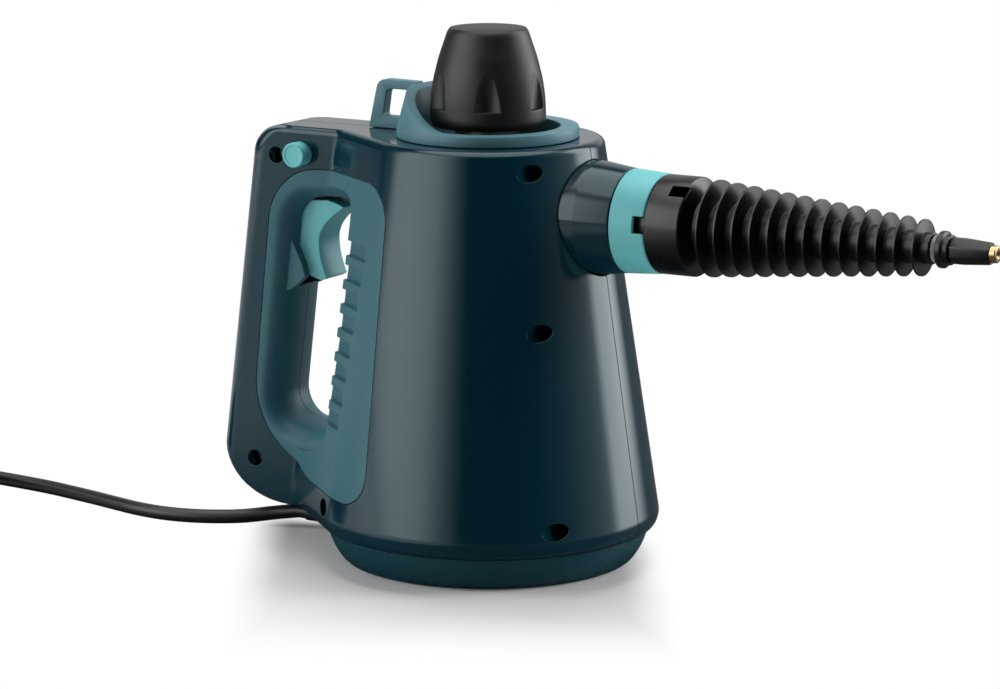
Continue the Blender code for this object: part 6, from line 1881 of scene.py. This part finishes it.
@dataclass(frozen=True)
class Studio:
    """Camera, floor, background and lamps, as the photograph has them."""

    azimuth: float = 30.30
    pitch: float = 11.09
    distance: float = 1.7289
    height: float = 0.4319
    focal: float = 4094.5
    axis_px: float = 487.9
    width_px: float = 1000.0
    sensor: float = 36.0
    floor_half: float = 12.0
    floor_drop: float = 0.05 * MM
    # How bright a reflection sees the softboxes, the overhead, the white behind and what is under
    softbox: float = 3.2
    overhead: float = 2.4
    behind: float = 0.62
    under: float = 0.06
    # The share of that which lights a surface, and the even light that is added to it
    shape: float = 0.13
    fill: float = 0.07
    # Between which heights of a direction the boxes start and end, and the overhead starts
    foot: Flat = (-0.16, -0.04)
    head: Flat = (0.60, 0.80)
    head_end: float = 0.12
    ceiling: Flat = (0.74, 0.86)
    # How near a direction comes to straight behind, and how high it points, to meet the white there
    behind_near: Flat = (0.70, 0.86)
    behind_high: Flat = (0.04, 0.12)
    # The camera's lift of the near floor, and the edges of its painted shadow zone, where it fades to pure
    # white: sides, front and rear
    lift: float = 0.055
    shade_zone_middle: float = 0.016
    shade_zone_side: Flat = (0.070, 0.095)
    shade_zone_front: Flat = (0.095, 0.18)
    shade_zone_rear: Flat = (-0.07, -0.15)
    # How much of the floor is hidden from reflections, rising from its left to its right
    dim_from: Flat = (-0.35, -0.10)
    dim_share: Flat = (0.1, 0.9)
    # The softboxes' strength by azimuth, in degrees
    stops: tuple[Flat, ...] = (
        (-180, 0.0), (-166, 0.1), (-154, 0.74), (-135, 0.95), (-120, 0.92), (-108, 0.78), (-98, 0.46),
        (-88, 0.17), (-78, 0.0), (-36, 0.0), (-20, 0.01), (0, 0.06), (23, 0.2), (32, 0.34), (40, 1.4),
        (62, 1.4), (77, 0.06), (130, 0.02), (180, 0.0))

    def camera(self) -> None:
        """Set the camera that the photograph was taken with."""
        a, pitch = math.radians(self.azimuth), math.radians(self.pitch)
        forward, right = Vector((-math.sin(a), math.cos(a), 0)), Vector((math.cos(a), math.sin(a), 0))
        yaw = math.atan((self.axis_px - self.width_px / 2) / self.focal)
        ahead = forward * math.cos(yaw) - right * math.sin(yaw)
        across = right * math.cos(yaw) + forward * math.sin(yaw)
        up = Vector((0, 0, 1))
        look = ahead * math.cos(pitch) - up * math.sin(pitch)
        top = up * math.cos(pitch) + ahead * math.sin(pitch)
        data = bpy.data.cameras.new("photo_camera")
        data.sensor_width = self.sensor
        data.lens = self.focal * self.sensor / self.width_px
        data.clip_end = 60.0
        camera = linked("photo_camera", data)
        turn = Matrix((across, top, -look)).transposed().to_4x4()
        camera.matrix_world = Matrix.Translation((math.sin(a) * self.distance, -math.cos(a) * self.distance,
                                                  self.height)) @ turn
        bpy.context.scene.camera = camera

    def strips(self, tree: Tree, parts: bpy.types.NodeOutputs) -> bpy.types.NodeSocket:
        """Return the softboxes' light by direction: wide strips at the left and right, dark between.

        Args:
            tree: The world's tree.
            parts: The direction's X, Y and Z.

        Returns:
            The strength that a reflection sees.
        """
        angle = add_node(tree, "ShaderNodeMath", {"operation": "ARCTAN2"}, i0=parts["Y"], i1=parts["X"])
        share = add_node(tree, "ShaderNodeMapRange", Value=angle.outputs[0], From_Min=-math.pi,
                         From_Max=math.pi, To_Min=0.0, To_Max=1.0)
        ramp = add_node(tree, "ShaderNodeValToRGB", Fac=share.outputs[0])
        elements = ramp.color_ramp.elements
        while len(elements) < len(self.stops):
            elements.new(0.5)
        for element, (degrees, value) in zip(elements, self.stops):
            element.position = (degrees + 180) / 360
            element.color = (value, value, value, 1.0)
        rise = add_node(tree, "ShaderNodeMapRange", SMOOTHSTEP, Value=parts["Z"], From_Min=self.foot[0],
                        From_Max=self.foot[1], To_Min=self.under, To_Max=self.softbox)
        head = add_node(tree, "ShaderNodeMapRange", SMOOTHSTEP, Value=parts["Z"], From_Min=self.head[0],
                        From_Max=self.head[1], To_Min=1.0, To_Max=self.head_end)
        tall = add_node(tree, "ShaderNodeMath", MULTIPLY, i0=head.outputs[0], i1=rise.outputs[0])
        strips = add_node(tree, "ShaderNodeMath", MULTIPLY, i0=ramp.outputs["Color"], i1=tall.outputs[0])
        a = math.radians(self.azimuth)
        flat = add_node(tree, "ShaderNodeCombineXYZ", X=parts["X"], Y=parts["Y"])
        behind = add_node(tree, "ShaderNodeVectorMath", DOT_PRODUCT, i0=flat.outputs[0],
                          i1=(-math.sin(a), math.cos(a), 0.0))
        far = add_node(tree, "ShaderNodeMapRange", SMOOTHSTEP, Value=behind.outputs["Value"],
                       From_Min=self.behind_near[0], From_Max=self.behind_near[1])
        high = add_node(tree, "ShaderNodeMapRange", SMOOTHSTEP, Value=parts["Z"],
                        From_Min=self.behind_high[0], From_Max=self.behind_high[1])
        paper = add_node(tree, "ShaderNodeMath", MULTIPLY, i0=far.outputs[0], i1=high.outputs[0])
        low = add_node(tree, "ShaderNodeMix", FLOAT, i0=paper.outputs[0], i2=strips.outputs[0],
                       i3=self.behind)
        above = add_node(tree, "ShaderNodeMapRange", SMOOTHSTEP, Value=parts["Z"],
                         From_Min=self.ceiling[0], From_Max=self.ceiling[1])
        return add_node(tree, "ShaderNodeMix", FLOAT, i0=above.outputs[0], i2=low.outputs[0],
                        i3=self.overhead).outputs[0]

    def world(self) -> None:
        """Make the world: white behind the object, and softboxes between dark flags as its light."""
        world = bpy.data.worlds.new("studio")
        bpy.context.scene.world = world
        world.use_nodes = True
        tree = world.node_tree
        tree.nodes.clear()
        toward = add_node(tree, "ShaderNodeTexCoord").outputs["Generated"]
        parts = add_node(tree, "ShaderNodeSeparateXYZ", Vector=toward).outputs
        seen = self.strips(tree, parts)
        path = add_node(tree, "ShaderNodeLightPath").outputs
        white = add_node(tree, "ShaderNodeMath", MAXIMUM, i0=path["Is Camera Ray"],
                         i1=path["Is Transmission Ray"])
        soft = add_node(tree, "ShaderNodeMath", {"operation": "MULTIPLY_ADD"}, i0=seen, i1=self.shape,
                        i2=self.fill)
        plain = add_node(tree, "ShaderNodeMix", FLOAT, i0=white.outputs[0], i2=soft.outputs[0], i3=1.0)
        level = add_node(tree, "ShaderNodeMix", FLOAT, i0=path["Is Glossy Ray"], i2=plain.outputs[0],
                         i3=seen)
        glow = add_node(tree, "ShaderNodeBackground", Color=WHITE, Strength=level.outputs[0])
        add_node(tree, "ShaderNodeOutputWorld", Surface=glow.outputs[0])

    def floor(self) -> None:
        """Lay the floor: lit grey paper near the object, which holds the lamps' shadow, inside a painted
        shadow zone whose edges fade to pure white beyond it.
        """
        half = self.floor_half
        bm = bmesh.new()
        bm.faces.new([bm.verts.new((x, y, -self.floor_drop)) for x, y in
                      ((-half, -half), (half, -half), (half, half), (-half, half))])
        floor = settled("floor", bm)
        material = bpy.data.materials.new("white_paper_painted_shadow_zone")
        material.use_nodes = True
        tree = material.node_tree
        tree.nodes.clear()
        place = add_node(tree, "ShaderNodeTexCoord").outputs["Object"]
        fibre = add_node(tree, "ShaderNodeTexNoise", Vector=place, Scale=300.0, Detail=2.0)
        shade = add_node(tree, "ShaderNodeMapRange", Value=fibre.outputs["Fac"], To_Min=0.745, To_Max=0.755)
        paper = add_node(tree, "ShaderNodeBsdfDiffuse", Color=shade.outputs[0])
        path = add_node(tree, "ShaderNodeLightPath").outputs
        lift = add_node(tree, "ShaderNodeMath", MULTIPLY, i0=path["Is Camera Ray"], i1=self.lift)
        glow = add_node(tree, "ShaderNodeEmission", Color=WHITE, Strength=lift.outputs[0])
        near = add_node(tree, "ShaderNodeAddShader", i0=paper.outputs[0], i1=glow.outputs[0])
        # Painted shadow zone: a mask shaped like the object's shadow, outside which the camera sees pure
        # white instead of the lit grey paper
        a = math.radians(self.azimuth)
        across = add_node(tree, "ShaderNodeVectorMath", DOT_PRODUCT, i0=place,
                          i1=(math.cos(a), math.sin(a), 0.0)).outputs["Value"]
        toward = add_node(tree, "ShaderNodeVectorMath", DOT_PRODUCT, i0=place,
                          i1=(math.sin(a), -math.cos(a), 0.0)).outputs["Value"]
        off = add_node(tree, "ShaderNodeMath", {"operation": "ADD"}, i0=across, i1=self.shade_zone_middle)
        aside = add_node(tree, "ShaderNodeMath", {"operation": "ABSOLUTE"}, i0=off.outputs[0])
        wide = add_node(tree, "ShaderNodeMapRange", SMOOTHSTEP, Value=aside.outputs[0],
                        From_Min=self.shade_zone_side[0], From_Max=self.shade_zone_side[1])
        front = add_node(tree, "ShaderNodeMapRange", SMOOTHSTEP, Value=toward,
                         From_Min=self.shade_zone_front[0], From_Max=self.shade_zone_front[1])
        rear = add_node(tree, "ShaderNodeMapRange", SMOOTHSTEP, Value=toward,
                        From_Min=self.shade_zone_rear[0], From_Max=self.shade_zone_rear[1])
        along = add_node(tree, "ShaderNodeMath", MAXIMUM, i0=rear.outputs[0], i1=front.outputs[0])
        beyond = add_node(tree, "ShaderNodeMath", MAXIMUM, i0=wide.outputs[0], i1=along.outputs[0])
        clear = add_node(tree, "ShaderNodeMath", MULTIPLY, i0=beyond.outputs[0], i1=path["Is Camera Ray"])
        pure = add_node(tree, "ShaderNodeEmission", Color=WHITE, Strength=1.0)
        sheet = add_node(tree, "ShaderNodeMixShader", i0=clear.outputs[0], i1=near.outputs[0],
                         i2=pure.outputs[0])
        away = add_node(tree, "ShaderNodeMapRange", SMOOTHSTEP, Value=across, From_Min=self.dim_from[0],
                        From_Max=self.dim_from[1], To_Min=self.dim_share[0], To_Max=self.dim_share[1])
        dim = add_node(tree, "ShaderNodeMath", MULTIPLY, i0=path["Is Glossy Ray"], i1=away.outputs[0])
        hidden = add_node(tree, "ShaderNodeBsdfTransparent")
        seen = add_node(tree, "ShaderNodeMixShader", i0=dim.outputs[0], i1=sheet.outputs[0],
                        i2=hidden.outputs[0])
        add_node(tree, "ShaderNodeOutputMaterial", Surface=seen.outputs[0])
        floor.data.materials.append(material)

    def lamps(self) -> None:
        """Hang a broad lamp above, one at the left and one at the right, outside the reflections."""
        for name, place, aim, size, power in (
                ("overhead_lamp", (-0.28, 0.52, 1.45), (0.0, 0.0, 0.05), 1.0, 20.0),
                ("left_lamp", (-1.75, -1.05, 0.62), (0.0, 0.0, 0.12), 1.1, 25.0),
                ("right_lamp", (1.6, 0.75, 0.80), (0.0, 0.0, 0.12), 0.9, 22.0)):
            data = bpy.data.lights.new(name, "AREA")
            data.shape, data.size, data.energy = "DISK", size, power
            lamp = linked(name, data)
            lamp.location = place
            lamp.rotation_euler = (Vector(aim) - Vector(place)).to_track_quat("-Z", "Y").to_euler()
            lamp.visible_glossy = False

    def build(self) -> None:
        """Set up the whole studio."""
        self.camera()
        self.world()
        self.floor()
        self.lamps()


def main() -> None:
    """Load the frame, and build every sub-assembly in turn."""
    logging.basicConfig(level=logging.INFO, format="%(name)s: %(message)s")
    bpy.context.scene.view_settings.view_transform = "Standard"
    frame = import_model()
    Studio().build()
    form = HousingForm()
    Lead().build()
    Housing(form).build()
    Screws().build()
    GripPanels(form).build()
    TriggerGroup().build()
    Base().build()
    Collar().build()
    Cap().build()
    Spout().build()
    Nozzle().build()
    Tip().build()
    dress_inner(frame["nodes"])


if __name__ == "__main__":
    main()
